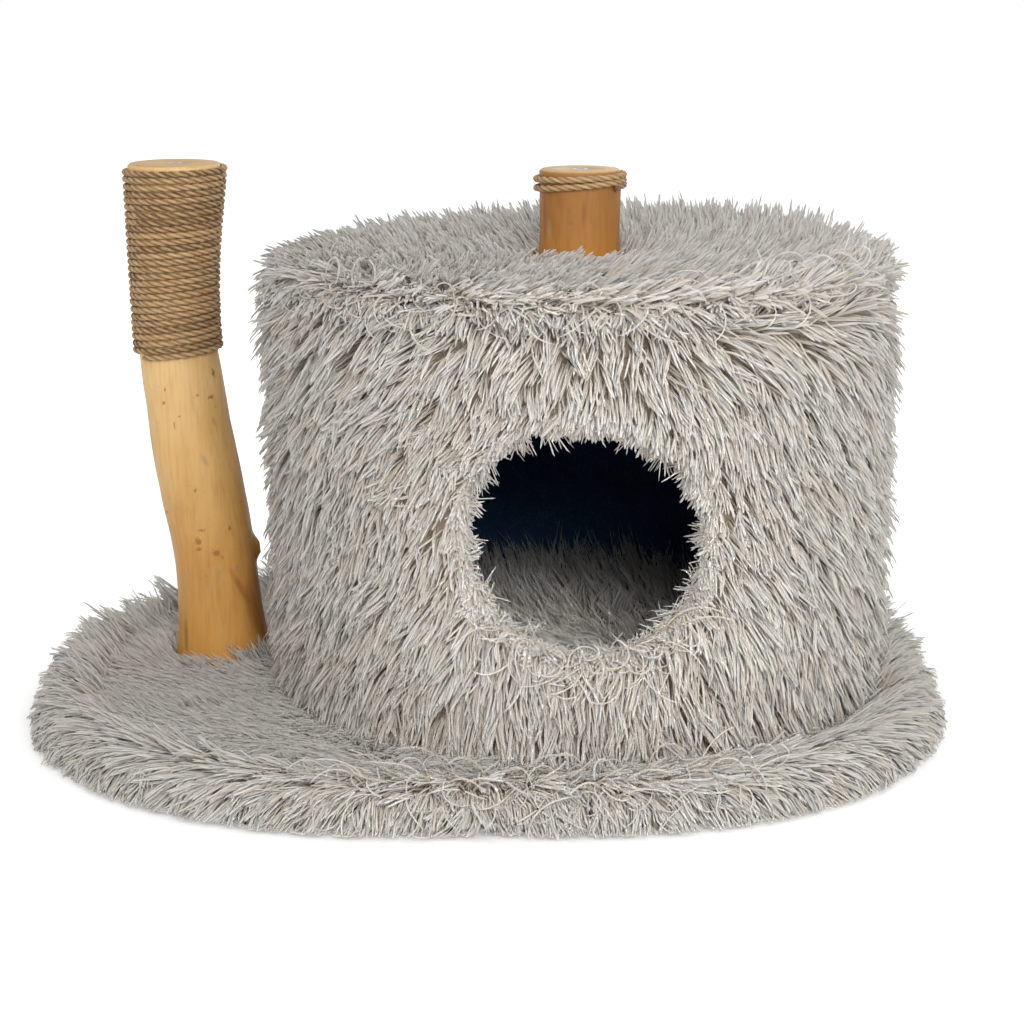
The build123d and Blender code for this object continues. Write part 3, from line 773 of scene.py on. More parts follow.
def wall_pile():
    """Pile of the wall, in parts round the house."""
    spots = wall_spots()
    angle = spots[:, 0] / cloth_radius
    full = near_top(spots[:, 1])
    above_sill = spots[:, 1] > door_height - 0.06
    by_door = np.exp(-np.maximum(from_door(spots) - door_radius, 0) / 0.03) * above_sill
    corner = at_corner(spots[:, 0], spots[:, 1] - door_height)
    upper = (spots[:, 1] - house_bottom) / (house_top - house_bottom)
    length = 44 + 3 * upper - (25 + 8 * corner) * by_door - 12 * above_parting(angle, spots[:, 1])
    lift = 54 + 14 * upper + 4 * full
    hang = 5 + 12 * upper + 2 * full
    return pile_in_parts(
        "house_wall_pile", wall_surface, spots, 30, spots[:, 0] / girth + 0.5, WALL_PARTS,
        {"length": length, "lift": lift, "hang": hang}, tuft=7, width=(1.6, 2.8), settle=0.1, gather=0.45,
        veer=0.18, wild=0.02, keep_out=in_doorway, clear=no_lower(base_pile_floor),
    )


wall_pieces = wall_pile()

# %% [markdown]
# ## Fringe of the doorway
# Where the cloth turns into the house, its pile turns with it: above, it hangs over the opening as a
# fringe, at the sides it hangs down and inwards, and below it is combed out and down over the lip. The
# lip is nearly a quarter round that follows the hole, so its way out swings from the wall's almost to
# the middle of the hole. It is a surface of its own, because no one formula suits both the wall and
# its lip. Thin wisps reach further into the opening, and a few curls lie on the sill.

# %% Doorway's lip
LIP_ROUNDING = 5 * MM
LIP_TUFTS = 860
lip_girth = 2 * np.pi * door_radius
lip_radius = door_radius + LIP_ROUNDING - BACKING - 0.3 * MM


def lip_surface(spot):
    """Lip of the doorway: along the edge from its right, and across from the wall into the house."""
    turn = spot[..., 0] / door_radius
    swing = np.clip(spot[..., 1] / LIP_ROUNDING, 0, 1.4)[..., None]
    angle = np.arcsin(np.clip(door_radius * np.cos(turn) / cloth_radius, -1, 1))
    wall_out = level(np.sin(angle), -np.cos(angle))
    to_middle = np.stack([-np.cos(turn), np.zeros_like(turn), -np.sin(turn)], axis=-1)
    out = unit(wall_out * np.cos(swing) + to_middle * np.sin(swing))
    rim = on_wall(cloth_radius - LIP_ROUNDING, angle, door_height + lip_radius * np.sin(turn))
    rim[..., 0] = house_x + lip_radius * np.cos(turn)
    sides = np.abs(np.cos(turn))[..., None]
    sill = held(-np.sin(turn))[..., None]
    leftwards = level(np.full_like(turn, -1.0), np.zeros_like(turn))
    parted = at_corner(np.cos(turn), np.sin(turn))[..., None] * leftwards
    over = wall_out * np.sin(swing) - to_middle * np.cos(swing)
    comb = (to_middle * 0.3 * sides + wall_out * 0.15 + parted - UP) * (1 - sill) + over * sill
    return rim + out * LIP_ROUNDING, out, unit(comb)


def lip_pile():
    """Fringe round the doorway: short at the sides, longer over the top and on the sill."""
    spots = spread_spots(LIP_TUFTS, 51) * [lip_girth, 1.4 * LIP_ROUNDING]
    turn = spots[:, 0] / door_radius
    upward = np.sin(turn)
    above, below = held(upward), held(-upward)
    corner = at_corner(np.cos(turn), upward)
    lower = held(-np.abs(np.sin(2 * spots[:, 0] / door_radius)) * np.sign(upward))
    right = np.exp(-(((turn - 0.8) / 0.4) ** 2))
    uneven = 5 * waves(spots[:, :1], 0.05, 53)
    length = 14 + 4 * above + 6 * below + uneven - 11 * corner - 4 * lower - 2 * right
    lift = 32 + 10 * above + 10 * below - 16 * lower
    return pile(
        "doorway_pile", lip_surface, spots, 52, spread=2.8, length=length, lift=lift, hang=6 - 10 * below,
        veer=0.3, stray=1.8, wild=0.0,
    )


# %% Wisps and curls of the doorway
WISP_TUFTS = 380
DOORWAY_CURLS = 60


def wisp_surface(spot):
    """Lip of the doorway with its pile combed into the opening and, on the sill, into the house."""
    point, out, comb = lip_surface(spot)
    turn = spot[..., 0] / door_radius
    sill = held(-1.6 * np.sin(turn))
    inward = np.stack([-np.cos(turn) * (1 - 0.75 * sill), 1.5 * sill, -np.sin(turn) * (1 - sill)], axis=-1)
    return point, out, unit(0.5 * comb * (1 - sill)[..., None] + inward)


def lip_wisps():
    """Thin wisps that reach into the doorway, in uneven groups, and lie over the sill."""
    spots = (0.3 + spread_spots(WISP_TUFTS, 56)) * [lip_girth, LIP_ROUNDING]
    below = held(-np.sin(spots[:, 0] / door_radius))
    length = 12 + 12 * np.clip(waves(spots[:, :1], 0.035, 57), -0.5, 1) + 4 * below
    return pile(
        "doorway_wisps", wisp_surface, spots, 58, tuft=5, spread=3.5, length=length, lift=18, hang=8,
        veer=0.45, stray=2.2, width=(0.9, 1.7), wild=0.1,
    )


def doorway_curls():
    """Loose curls under the doorway."""
    places = spread_spots(DOORWAY_CURLS, 54)
    sill = (0.75 + 0.24 * (places - 0.5)) * [lip_girth, 0] + places[:, 1:] * [0, LIP_ROUNDING]
    return curls("doorway_curls", lip_surface, sill, 55, length=55, turns=(0.2, 0.75))


lip_pieces = [lip_pile(), lip_wisps(), doorway_curls()]

# %% [markdown]
# ## Backing of the wall
# Unrolled, the backing is a rectangle with a hole. A boolean cut would leave long thin faces round that
# hole, so the grid is laid round it from the start. Each column of its grid joins one point of the
# rectangle's edge to the point of the hole that lies the same way, so that the rows change step by step
# from the hole's circle to the rectangle. Rolled up, the two short edges meet at the back, and the seam
# is merged.

# %% Holed sheets
TOP_ROUNDING = 4 * MM
WALL_GRID = (96, 24, 24)
# How far each row of the turned-in lip is outside the hardboard and outside the hole
LIP_ROWS = np.array([(-7.0, -0.3), (-2.0, -0.3), (-0.3, 0.3), (0.0, 2.0)]) * MM
LINING_THICKNESS = 3 * MM
house_middle = np.array([house_x, 0, door_height])
door_area = np.pi * door_radius**2


def holed_wall(radius, low, high, lip):
    """Rolled sheet with the doorway cut out; lip gives the radius and hole radius of its inmost rows."""
    long, short, rows = WALL_GRID
    round_way = np.linspace(-np.pi, np.pi, long, endpoint=False)
    climb = np.linspace(low, high, short, endpoint=False)
    around = np.concatenate([round_way, np.full(short, np.pi), -round_way, np.full(short, -np.pi)])
    height = np.concatenate([np.full(long, low), climb, np.full(long, high), low + high - climb])
    toward = np.arctan2(height - door_height, around * radius)
    share = np.linspace(0, 1, rows)[:, None] ** 1.3

    def hole(ring, reach):
        return np.arcsin(reach * np.cos(toward) / ring), door_height + reach * np.sin(toward)

    turned_in = [on_wall(ring, *hole(ring, reach)) for ring, reach in lip]
    hole_angle, hole_height = hole(radius, lip[-1][1])
    angle = hole_angle + (around - hole_angle) * share
    spread = on_wall(radius, angle, hole_height + (height - hole_height) * share)
    points = np.concatenate([np.stack(turned_in), spread[1:]])
    return points, grid_faces(*points.shape[:2])


def wall_backing():
    """Knit of the wall plush on the hardboard, turned in round the doorway."""
    high = house_top - TOP_ROUNDING - 1 * MM
    points, faces = holed_wall(wall_radius, house_bottom, high, LIP_ROWS + [wall_radius, door_radius])
    height = high - house_bottom
    cloth(
        "house_wall_cloth", "house_wall_plush", points, facing(points, faces, house_middle), BACKING,
        (girth, height), girth * height - door_area, "plush", [*wall_pieces, *lip_pieces],
    )


def wall_lining():
    """Dark felt inside the wall."""
    points, faces = holed_wall(lining_radius, house_floor, house_ceiling, [(lining_radius, door_radius)])
    width, height = 2 * np.pi * lining_radius, house_ceiling - house_floor
    cloth(
        "house_lining_felt", "house_lining", points, facing(points, faces, house_middle, -1),
        LINING_THICKNESS, (width, height), width * height - door_area, "lining_felt",
    )


wall_backing()
wall_lining()

# %% [markdown]
# ## House top
# The top is a round of plush with a hole for the trunk, turned over a soft edge and seamed to the wall
# there. It is measured as if it were flat, outwards from the trunk. Its pile swirls anticlockwise along
# the front edge, is swept along the parting at the right, stands up at the back, most on the right, and
# is short and flat near the trunk.

# %% Top surface
POST_RADIUS = 38.6 * MM
POST_GAP = 1 * MM
top_flat = wall_radius - 1.5 * MM
top_lie = house_top + 0.3 * MM
seam_reach = top_flat + 1.5 * TOP_ROUNDING


def rounded_edge(reach, flat, rounding):
    """Cloth over a soft edge: flat, a quarter round, then straight down, by the length along the cloth.

    Returns how far out it is, how far down, and the tilt of its way out from upright.
    """
    tilt = np.clip((reach - flat) / rounding, 0, np.pi / 2)
    side = np.maximum(reach - flat - rounding * np.pi / 2, 0)
    return np.minimum(reach, flat) + rounding * np.sin(tilt), rounding * (1 - np.cos(tilt)) + side, tilt


def swept_top(spot):
    """How far the parting at the right of the front sweeps a spot of the top: nought to one."""
    return swept_up(np.arctan2(spot[..., 0], -spot[..., 1]))


def top_surface(spot):
    """Top cloth: flattened place from the trunk's middle."""
    reach = np.hypot(spot[..., 0], spot[..., 1])
    away = level(*(spot[..., axis] / np.maximum(reach, 1 * MM) for axis in (0, 1)))
    out_by, down_by, tilt = rounded_edge(reach, top_flat, TOP_ROUNDING)
    trunk_foot = np.array([house_x, 0, top_lie + BACKING])
    point = away * out_by[..., None] + trunk_foot - UP * down_by[..., None]
    full = held((reach - top_flat) / EDGE_FULLNESS + 1)
    out = unit(UP + away * full[..., None])
    round_way = np.cross(UP, away)
    over = away * np.cos(tilt)[..., None] - UP * np.sin(tilt)[..., None]
    swirl, outward = 0.5 + 0.6 * full, 0.35 + 0.9 * full
    tousled = 0.55 * waves(spot, 0.12, 61) + 0.35 * waves(spot, 0.07, 62)
    turn = np.arctan2(swirl, outward) + (0.45 + 0.55 * full) * tousled + full * swept_top(spot)
    return point, out, round_way * np.sin(turn)[..., None] + over * np.cos(turn)[..., None]


def off_top(spot):
    """Whether a spot is under the trunk or past the seam."""
    reach = np.hypot(spot[..., 0], spot[..., 1])
    return (reach < POST_RADIUS + POST_GAP) | (reach > seam_reach)


def clear_of_post(points):
    """Strands that would enter the house trunk are set beside it."""
    return set_beside(points, [house_x, 0], POST_RADIUS + POST_GAP)


# %% Pile of the top
TOP_TUFTS = 2600
TOP_PARTS = 2


def top_pile():
    """Pile of the top: laid at the front edge, upright at the back."""
    around, outwards = spread_spots(TOP_TUFTS, 63).T
    reach = np.sqrt(POST_RADIUS**2 + outwards * (seam_reach**2 - POST_RADIUS**2))
    spots = at_turn(reach, 2 * np.pi * around)
    x, y = spots.T
    back = held(0.5 + y / 0.3)
    near_post = np.exp(-np.maximum(reach - POST_RADIUS, 0) / 0.03)
    right = np.clip(x / 0.2, -1, 1)
    edge = held((reach - 0.2) / 0.06)
    parted = edge * held(x / 0.15)
    far = held((x - 0.2) / 0.05)
    ridge = edge * swept_top(spots) * held(-y / 0.12)
    length = 38 + 2 * back - 14 * near_post + 6 * right + edge * (4 - 9 * back) - 6 * far * (1 - ridge)
    lift = 56 + 22 * back - 16 * near_post + (12 - 18 * far) * parted
    hang = 20 + 36 * back - 24 * edge + (34 - 22 * far) * parted
    hang = hang + 9 * right * back - 10 * near_post + 20 * ridge
    return pile_in_parts(
        "house_top_pile", top_surface, spots, 64, around, TOP_PARTS,
        {"length": length, "lift": lift, "hang": hang}, keep_out=off_top, veer=0.22, stray=1.8, wild=0.03,
        clear=clear_of_post,
    )


# %% Tousled seam of the top
SEAM_TUFTS = 1000
SEAM_CURLS = 150
SEAM_WIDTH = 12 * MM
SEAM_CURL_WIDTH = 30 * MM


def seam_surface(spot):
    """Top cloth beside its seam, where the pile is tousled: combed along the seam, over it and back."""
    point, out, _ = top_surface(spot)
    away = unit(level(spot[..., 0], spot[..., 1]))
    swept = swept_top(spot)
    along = 0.3 + 0.6 * swept + 1.2 * waves(spot, 0.055, 66)
    upward = (1.2 * swept * held(0.35 - spot[..., 1] / 0.2) - 0.7)[..., None] * UP
    return point, out, unit(0.8 * away + upward + np.cross(UP, away) * along[..., None])


def seam_pile():
    """Tousled pile over the seam of the top and the wall."""
    around, across = spread_spots(SEAM_TUFTS, 67).T
    spots = at_turn(seam_reach - SEAM_WIDTH * across, 2 * np.pi * around)
    swept = swept_top(spots)
    length = 42 - 8 * swept * held(spots[:, 0] / 0.2)
    return pile(
        "house_seam_pile", seam_surface, spots, 68, spread=3.5, length=length, lift=50, hang=0, veer=0.55,
        stray=3.2, settle=0.75 * (1 - swept)[:, None], keep_out=off_top,
    )


def seam_curls():
    """Loose curls along the front half of the seam."""
    around, across = spread_spots(SEAM_CURLS, 69).T
    spots = at_turn(seam_reach - SEAM_CURL_WIDTH * across, np.pi * (1.14 + 0.66 * around))
    return curls("house_seam_curls", seam_surface, spots, 70, depth=18, turns=(0.3, 0.7))


top_pieces = [*top_pile(), seam_pile(), seam_curls()]

# %% Top cloth
ROUND_COLUMNS = 96


def round_sheet(centre, reaches, drop=None):
    """Round sheet as rings of points about a centre; drop lowers each ring."""
    turn = np.linspace(0, 2 * np.pi, ROUND_COLUMNS, endpoint=False)
    reaches = np.asarray(reaches)[:, None]
    down = np.zeros_like(reaches) if drop is None else np.asarray(drop)[:, None]
    x, y = centre[0] + reaches * np.cos(turn), centre[1] + reaches * np.sin(turn)
    points = np.stack(np.broadcast_arrays(x, y, centre[2] - down), axis=-1)
    return points, grid_faces(*points.shape[:2])


def top_backing():
    """Knit of the top plush, from the trunk over the soft edge to the seam."""
    edge = np.linspace(top_flat, seam_reach, 7)[1:]
    reach = np.concatenate([np.linspace(POST_RADIUS, top_flat, 10), edge])
    out_by, down_by, _ = rounded_edge(reach, top_flat, TOP_ROUNDING)
    points, faces = round_sheet((house_x, 0, top_lie), out_by, down_by)
    cut = 2 * reach[-1]
    cloth(
        "house_top_cloth", "house_top_plush", points, facing(points, faces, -UP), BACKING, (cut, cut),
        np.pi * (cut**2 / 4 - POST_RADIUS**2), "plush", top_pieces,
    )


top_backing()

# %% [markdown]
# ## Base
# The base board is a rectangle with very round corners. Its outline is a table of points by the length
# along the edge, because the cloth's rim is measured that way. The pile on the base lies flat and flows
# away from the house, and at the edge it turns over and hangs to the floor.

# %% Outline of the base
OUTLINE_STEPS = 720


def base_outline():
    """Length along the board's edge, its points and its ways out: corner middles plus radius times way."""
    turn = np.linspace(0, 2 * np.pi, OUTLINE_STEPS + 1)
    away = at_turn(1.0, turn)
    point = np.sign(away.round(9)) * (base_half - base_corner) + base_corner * away
    length = np.concatenate([[0], np.cumsum(np.linalg.norm(np.diff(point, axis=0), axis=1))])
    return length, point, away


edge_length, edge_point, edge_away = base_outline()
base_girth = edge_length[-1]


def on_edge(along):
    """Point of the board's edge and the way out of it, at a length along the edge."""
    point, away = (
        np.stack([np.interp(along % base_girth, edge_length, table[:, axis]) for axis in (0, 1)], axis=-1)
        for table in (edge_point, edge_away)
    )
    return point, unit(away)


def inside_edge(place):
    """How far a place is inside the board's edge: the distance rule of a rectangle with round corners."""
    corner = np.abs(place) - (base_half - base_corner)
    outside = np.linalg.norm(np.maximum(corner, 0), axis=-1)
    return base_corner - outside - np.minimum(corner.max(-1), 0)


print("edge of the base", round(base_girth, 3), "m")

# %% Surfaces of the base
RIM_FLAT = 36 * MM
RIM_ROUNDING = 5 * MM
RIM_SIDE = 14 * MM
base_lie = base_high + 0.2 * MM
rim_reach = RIM_FLAT + RIM_ROUNDING * np.pi / 2 + RIM_SIDE


def base_surface(spot):
    """Base cloth on the board: place on the floor. The pile flows from the house to the edge."""
    point = np.concatenate([spot, np.full_like(spot[..., :1], base_lie + BACKING)], axis=-1)
    out = np.broadcast_to(UP, point.shape)
    from_house = unit(spot - [house_x, 0])
    sway = 0.55 * waves(spot, 0.2, 71) + 0.25 * waves(spot, 0.06, 72)
    comb = from_house + sway[..., None] * np.stack([-from_house[..., 1], from_house[..., 0]], axis=-1)
    front = held((-spot[..., 1] - 0.2) / 0.05)
    rubbed = front * (0.5 + 1.6 * waves(spot, 0.12, 78))
    return point, out, unit(level(comb[..., 0] + rubbed, comb[..., 1] * (1 - 0.5 * front)))


def rim_surface(spot):
    """Base cloth over the edge: along the edge, and across it to the floor. The pile fans out there."""
    edge, away = on_edge(spot[..., 0])
    out_by, down_by, _ = rounded_edge(spot[..., 1], RIM_FLAT, RIM_ROUNDING)
    away = level(away[..., 0], away[..., 1])
    place = edge + away[..., :2] * (out_by - RIM_FLAT - RIM_ROUNDING + BACKING)[..., None]
    point = np.concatenate([place, (base_lie + BACKING - down_by)[..., None]], axis=-1)
    fan = held(spot[..., 1] / (rim_reach - RIM_SIDE))[..., None] * np.pi / 2
    out = away * np.sin(fan) + UP * np.cos(fan)
    over = away * np.cos(fan) - UP * np.sin(fan)
    aside = np.cross(UP, away)
    apart = 0.45 * np.tanh(edge[..., 0] / 0.15) * aside[..., 0]
    lean = apart + 0.3 * waves(spot, 0.12, 73) + 0.3 * waves(spot, 0.03, 74)
    front = held(1 - spot[..., 1] / RIM_FLAT) * held(-edge[..., 1] / 0.3)
    lean = lean + 1.2 * front * np.tanh((edge[..., 0] - 0.05) / 0.12)
    return point, out, unit(over + aside * lean[..., None])


# %% Bounds of the base's pile
FOOT_RADIUS = 46.3 * MM
PILE_REACH = 27 * MM
FLOOR_GAP = 4.5 * MM


def off_base(spot):
    """Whether a spot of the base is under the house, under the trunk or past the rim."""
    under_house = np.hypot(spot[..., 0] - house_x, spot[..., 1]) < cloth_radius + 2 * MM
    from_foot = np.hypot(spot[..., 0] - left_foot[0], spot[..., 1] - left_foot[1])
    return under_house | (from_foot < FOOT_RADIUS + 1 * MM) | (inside_edge(spot) < RIM_FLAT)


def clear_of_trunk(points):
    """Strands that would enter the left trunk's foot are set beside it, and none reaches the floor."""
    return no_lower(FLOOR_GAP)(set_beside(points, left_foot[:2], FOOT_RADIUS))


def within_rim(points):
    """Keeps the strands of the rim near the edge: only a third of the way past the reach is left.

    The reach is PILE_REACH at the sides, less in front and more at the back corners.
    """
    place = points[..., :2]
    corner = np.maximum(np.abs(place) - (base_half - base_corner), 0)
    away = unit(corner)
    behind = held(place[..., 1] / 0.1)
    reach = PILE_REACH * (0.82 + 0.18 * away[..., 0] + (0.15 + 1.5 * behind) * away.prod(-1))
    beyond = np.maximum(-inside_edge(place) - reach, 0)
    points[..., :2] -= np.sign(place) * away * (beyond * 2 / 3)[..., None]
    return clear_of_trunk(points)


# %% Pile of the base
BASE_TUFTS = 7600
BASE_PARTS = 2


def base_pile():
    """Pile on the top of the base: short and lying, and upright by the trunk and along the back."""
    spots = (spread_spots(BASE_TUFTS, 75) - 0.5) * 2 * base_half
    spots = spots[~off_base(spots)]
    x, y = spots.T
    from_trunk = np.hypot(x - left_foot[0], y - left_foot[1]) - FOOT_RADIUS
    by_trunk = np.exp(-np.maximum(from_trunk, 0) / 0.018)
    right = by_trunk * held((x - left_foot[0]) / 0.06)
    by_rim = np.exp(-np.maximum(inside_edge(spots) - RIM_FLAT, 0) / 0.035)
    behind = by_rim * held(y / 0.1)
    length = 25 + 2 * waves(spots, 0.1, 76) + 8 * by_trunk + 7 * right + 5 * by_rim
    lift = 36 + 26 * by_trunk + 12 * right + 8 * by_rim + 24 * behind
    hang = 6 + 34 * by_trunk + 24 * right + 4 * by_rim + 24 * behind
    return pile_in_parts(
        "base_pile", base_surface, spots, 77, x / base_half[0] / 2 + 0.5, BASE_PARTS,
        {"length": length, "lift": lift, "hang": hang}, tuft=11, spread=5.0, gather=0.2, width=(1.0, 1.8),
        stray=1.0, keep_out=off_base, clear=clear_of_trunk, shares=NAP_SHARES, own_normal=0.15,
    )


# %% Pile of the rim
RIM_TUFTS = 2600
RIM_PARTS = 2
BASE_CURLS = 110


def rim_pile():
    """Pile over the edge of the base, down to the floor: longest at the back right, laid flat in front."""
    along, across = spread_spots(RIM_TUFTS, 81).T
    spots = np.stack([along * base_girth, across * rim_reach], axis=1)
    point, away = on_edge(spots[:, 0])
    flat = held(1 - spots[:, 1] / RIM_FLAT)
    side = held((spots[:, 1] - RIM_FLAT) / (rim_reach - RIM_FLAT))
    corner = 2 * np.abs(away.prod(-1))
    rightward, backwards = point.T / 0.15
    at_end = held(2 * np.abs(rightward) - 4) * held(0.6 + backwards)
    rightward = np.clip(rightward, -1, 1)
    front, behind = flat * held(-backwards), held(0.4 + backwards)
    length = 45 + 8 * corner - 2 * flat - 16 * side + 3 * waves(spots[:, :1], 0.05, 82) - 6 * front
    length = length + behind * (1 + (9 + 7 * rightward) * corner)
    lift = 68 + 10 * flat - 16 * side - 26 * front
    hang = 10 + (30 - 16 * behind) * flat - 6 * side + 8 * corner - 30 * front
    hang = hang + 14 * behind * rightward * corner + 20 * at_end
    settle = 0.35 * (1 - flat)[:, None]
    return pile_in_parts(
        "base_rim_pile", rim_surface, spots, 83, along, RIM_PARTS,
        {"length": length, "lift": lift, "hang": hang, "settle": settle}, tuft=8, width=(1.4, 2.4),
        gather=0.3, veer=0.22, stray=1.8, clear=within_rim,
    )


def base_curls():
    """Loose curls along the front of the rim."""
    along, across = spread_spots(BASE_CURLS, 86).T
    spots = np.stack([base_girth * (0.69 + 0.16 * along), across * rim_reach * 0.7], axis=1)
    return curls("base_curls", rim_surface, spots, 87, length=50, depth=26, clear=within_rim)


base_pieces = [*base_pile(), *rim_pile(), base_curls()]

# %% [markdown]
# ## Backing and underlay of the base
# The knit is one sheet with a hole for the trunk: over the board, round its edge and under it as a hem.
# Each column of its grid joins the hole to the point of the outline that lies the same way. One grid
# for all three keeps the cloth in one piece, as it is cut. Inside the hem, a felt covers the underside.

# %% Base cloth
BASE_CLOTH = 1.8 * MM
UNDERLAY = 1.5 * MM
HEM_WIDTH = 45 * MM
HEM_GAP = 1 * MM
# How far each row of the edge is outside the board's edge and above its top, in mm
HEM_PROFILE = [
    (-10.0, 0.2), (-3.0, 0.2), (-0.6, -0.9), (0.2, -4.0), (0.2, -16.0), (-0.6, -19.1), (-3.0, -20.2),
    (-HEM_WIDTH / MM, -20.2),
]


def rounded_area(cut, corner):
    """Area of a rectangle with round corners."""
    return cut.prod() - (4 - np.pi) * corner**2


def base_backing():
    """Knit of the base plush: rows from the trunk's foot to the edge, over it, and in under the board."""
    edge, away = on_edge(np.linspace(0, base_girth, 240, endpoint=False))
    hole = left_foot[:2] + FOOT_RADIUS * unit(edge - left_foot[:2])
    profile = np.array(HEM_PROFILE) * MM
    rows = edge + away * profile[:, :1, None]
    share = np.linspace(0, 1, 10)[:-1, None, None]
    flat = np.concatenate([hole + (rows[0] - hole) * share, rows])
    height = np.concatenate([np.full(len(share), base_lie), base_high + profile[:, 1]])
    height = np.broadcast_to(height[:, None, None], (*flat.shape[:2], 1))
    points = np.concatenate([flat, height], axis=-1)
    faces = grid_faces(*points.shape[:2])
    turned_under = base_high - base_low + HEM_WIDTH
    cut = 2 * base_half + 2 * turned_under
    board_middle = np.array([0, 0, (base_low + base_high) / 2])
    cloth(
        "base_cloth", "base_plush", points, facing(points, faces, board_middle), BASE_CLOTH, tuple(cut),
        rounded_area(cut, base_corner + turned_under), "plush", base_pieces,
    )


def base_felt():
    """Felt under the board, inside the hem, as rings that shrink to the middle."""
    inset = HEM_WIDTH + HEM_GAP
    edge, away = on_edge(np.linspace(0, base_girth, 120, endpoint=False))
    outer = edge - away * inset
    share = np.linspace(1, 0.02, 8)[:, None, None]
    flat = np.concatenate([outer * share, np.zeros((1, *outer.shape))])
    points = np.concatenate([flat, np.full((*flat.shape[:2], 1), base_low)], axis=-1)
    faces = grid_faces(*points.shape[:2])
    cut = 2 * (base_half - inset)
    cloth(
        "base_underlay_felt", "base_underlay", points, facing(points, faces, UP), UNDERLAY, tuple(cut),
        rounded_area(cut, base_corner - inset), "underlay_felt",
    )


base_backing()
base_felt()

# %% [markdown]
# ## Inside the house
# A round mat of the same plush lies on the house floor. It grows by the same tuft rule, but its pile is
# rubbed all ways, leans towards the doorway in front, and stands up against the wall at the back. The
# ceiling has the same dark felt as the wall.

# %% Floor mat
MAT_TUFTS = 1300
mat_radius = 250 * MM


def mat_surface(spot):
    """Mat on the house floor: place from its middle."""
    height = np.full_like(spot[..., :1], house_floor + BACKING)
    point = np.concatenate([spot + [house_x, 0], height], axis=-1)
    turn = 0.8 * waves(spot, 0.14, 91) + 0.5 * waves(spot, 0.05, 92)
    lean = level(-np.cos(turn - 0.4), np.sin(turn - 0.4))
    out = unit(UP - level(0, 1) * np.clip(0.8 - spot[..., 1:] / 0.22, 0, 1.4))
    return point, out, lean


def off_mat(spot):
    """Whether a spot is past the mat's edge."""
    return np.hypot(spot[..., 0], spot[..., 1]) > mat_radius - 1 * MM


def clear_of_lining(points):
    """Strands are kept inside the lining."""
    return set_beside(points, [house_x, 0], mat_radius, np.minimum)


def mat_pile():
    """Pile of the floor mat, longest and upright at the back wall."""
    around, outwards = spread_spots(MAT_TUFTS, 93).T
    spots = at_turn(np.sqrt(outwards) * mat_radius, 2 * np.pi * around)
    back = held((spots[:, 1] - 0.05) / 0.15)
    return pile(
        "house_floor_pile", mat_surface, spots, 94, length=50 + 12 * back, lift=60 + 20 * back,
        hang=20 + 40 * back, tuft=8, width=(1.4, 2.4), veer=0.45, stray=3.0, shares=NAP_SHARES,
        clear=clear_of_lining, keep_out=off_mat,
    )


def floor_mat():
    """Knit of the floor mat, with its pile."""
    reaches = np.append(np.linspace(mat_radius, 10 * MM, 8), 0.0)
    points, faces = round_sheet((house_x, 0, house_floor), reaches)
    cloth(
        "house_floor_cloth", "house_floor_plush", points, facing(points, faces, -UP), BACKING,
        (2 * mat_radius, 2 * mat_radius), np.pi * mat_radius**2, "plush", [mat_pile()],
    )


floor_mat()

# %% Ceiling
CEILING_HOLE = 14 * MM


def ceiling_felt():
    """Felt under the top board, with a hole for the washer and bolt of the trunk."""
    width, _, thick = size_of("house_ceiling_lining")
    radius = width / 2
    points, faces = round_sheet((house_x, 0, house_ceiling), np.linspace(CEILING_HOLE, radius, 8))
    cloth(
        "house_ceiling_felt", "house_ceiling_lining", points, facing(points, faces, 2 * UP), thick,
        (2 * radius, 2 * radius), np.pi * (radius**2 - CEILING_HOLE**2), "lining_felt",
    )


ceiling_felt()

# %% [markdown]
# ## Trunks
# The trunks are coffee wood with the bark off: never quite round, a little wavy, flared at the foot,
# with the stub of a branch sawn off. A bevelled curve would make a round pole quickly, but it has no
# place for a stub, flutes or bores, so a trunk is a grid of rings about a bent middle line. The line
# and the diameter run smoothly through a few stations, and waves, the flare's flutes and the stub are
# added to the radius. Both ends are sawn flat and bored for their threaded inserts.

# %% Lines and spots on a trunk


def smooth_through(stations, at):
    """Curve through stations (place, value): cubic pieces, with the mean slopes at the stations."""
    place, value = np.asarray(stations, float).T
    slope = np.gradient(value, place)
    piece = np.clip(np.searchsorted(place, at) - 1, 0, len(place) - 2)
    step = place[piece + 1] - place[piece]
    t = (at - place[piece]) / step
    rise = value[piece + 1] - value[piece]
    first, last = slope[piece] * step, slope[piece + 1] * step
    return value[piece] + t * first + t**2 * (3 * rise - 2 * first - last) + t**3 * (first + last - 2 * rise)


def turn_from_front(degrees):
    """Turn about the trunk in radians; nought degrees faces the front, and positive is to the right."""
    return np.radians(degrees - 90)


def spot_field(turn, height, radius, spots):
    """Soft spots on a trunk: e to the minus squared distance from each middle, in half sizes."""
    field = np.zeros(np.broadcast(turn, height).shape)
    for degrees, up, wide, high, *tilt in spots:
        across = (turn - turn_from_front(degrees) + np.pi) % (2 * np.pi) - np.pi
        across, rise = across * radius, height - up * MM
        lean = math.radians(tilt[0] if tilt else 0.0)
        cosine, sine = math.cos(lean), math.sin(lean)
        across, rise = across * cosine + rise * sine, rise * cosine - across * sine
        field = np.maximum(field, np.exp(-((across / (wide * MM)) ** 2) - (rise / (high * MM)) ** 2))
    return field


# %% Trunk shapes
SAWN_EDGE = 2 * MM
BORE_RADIUS = 7 * MM
BORE_DEPTH = 35 * MM
FLARE_HEIGHT = 22 * MM
STUB_RISE = 5 * MM
TRUNK_COLUMNS = 112


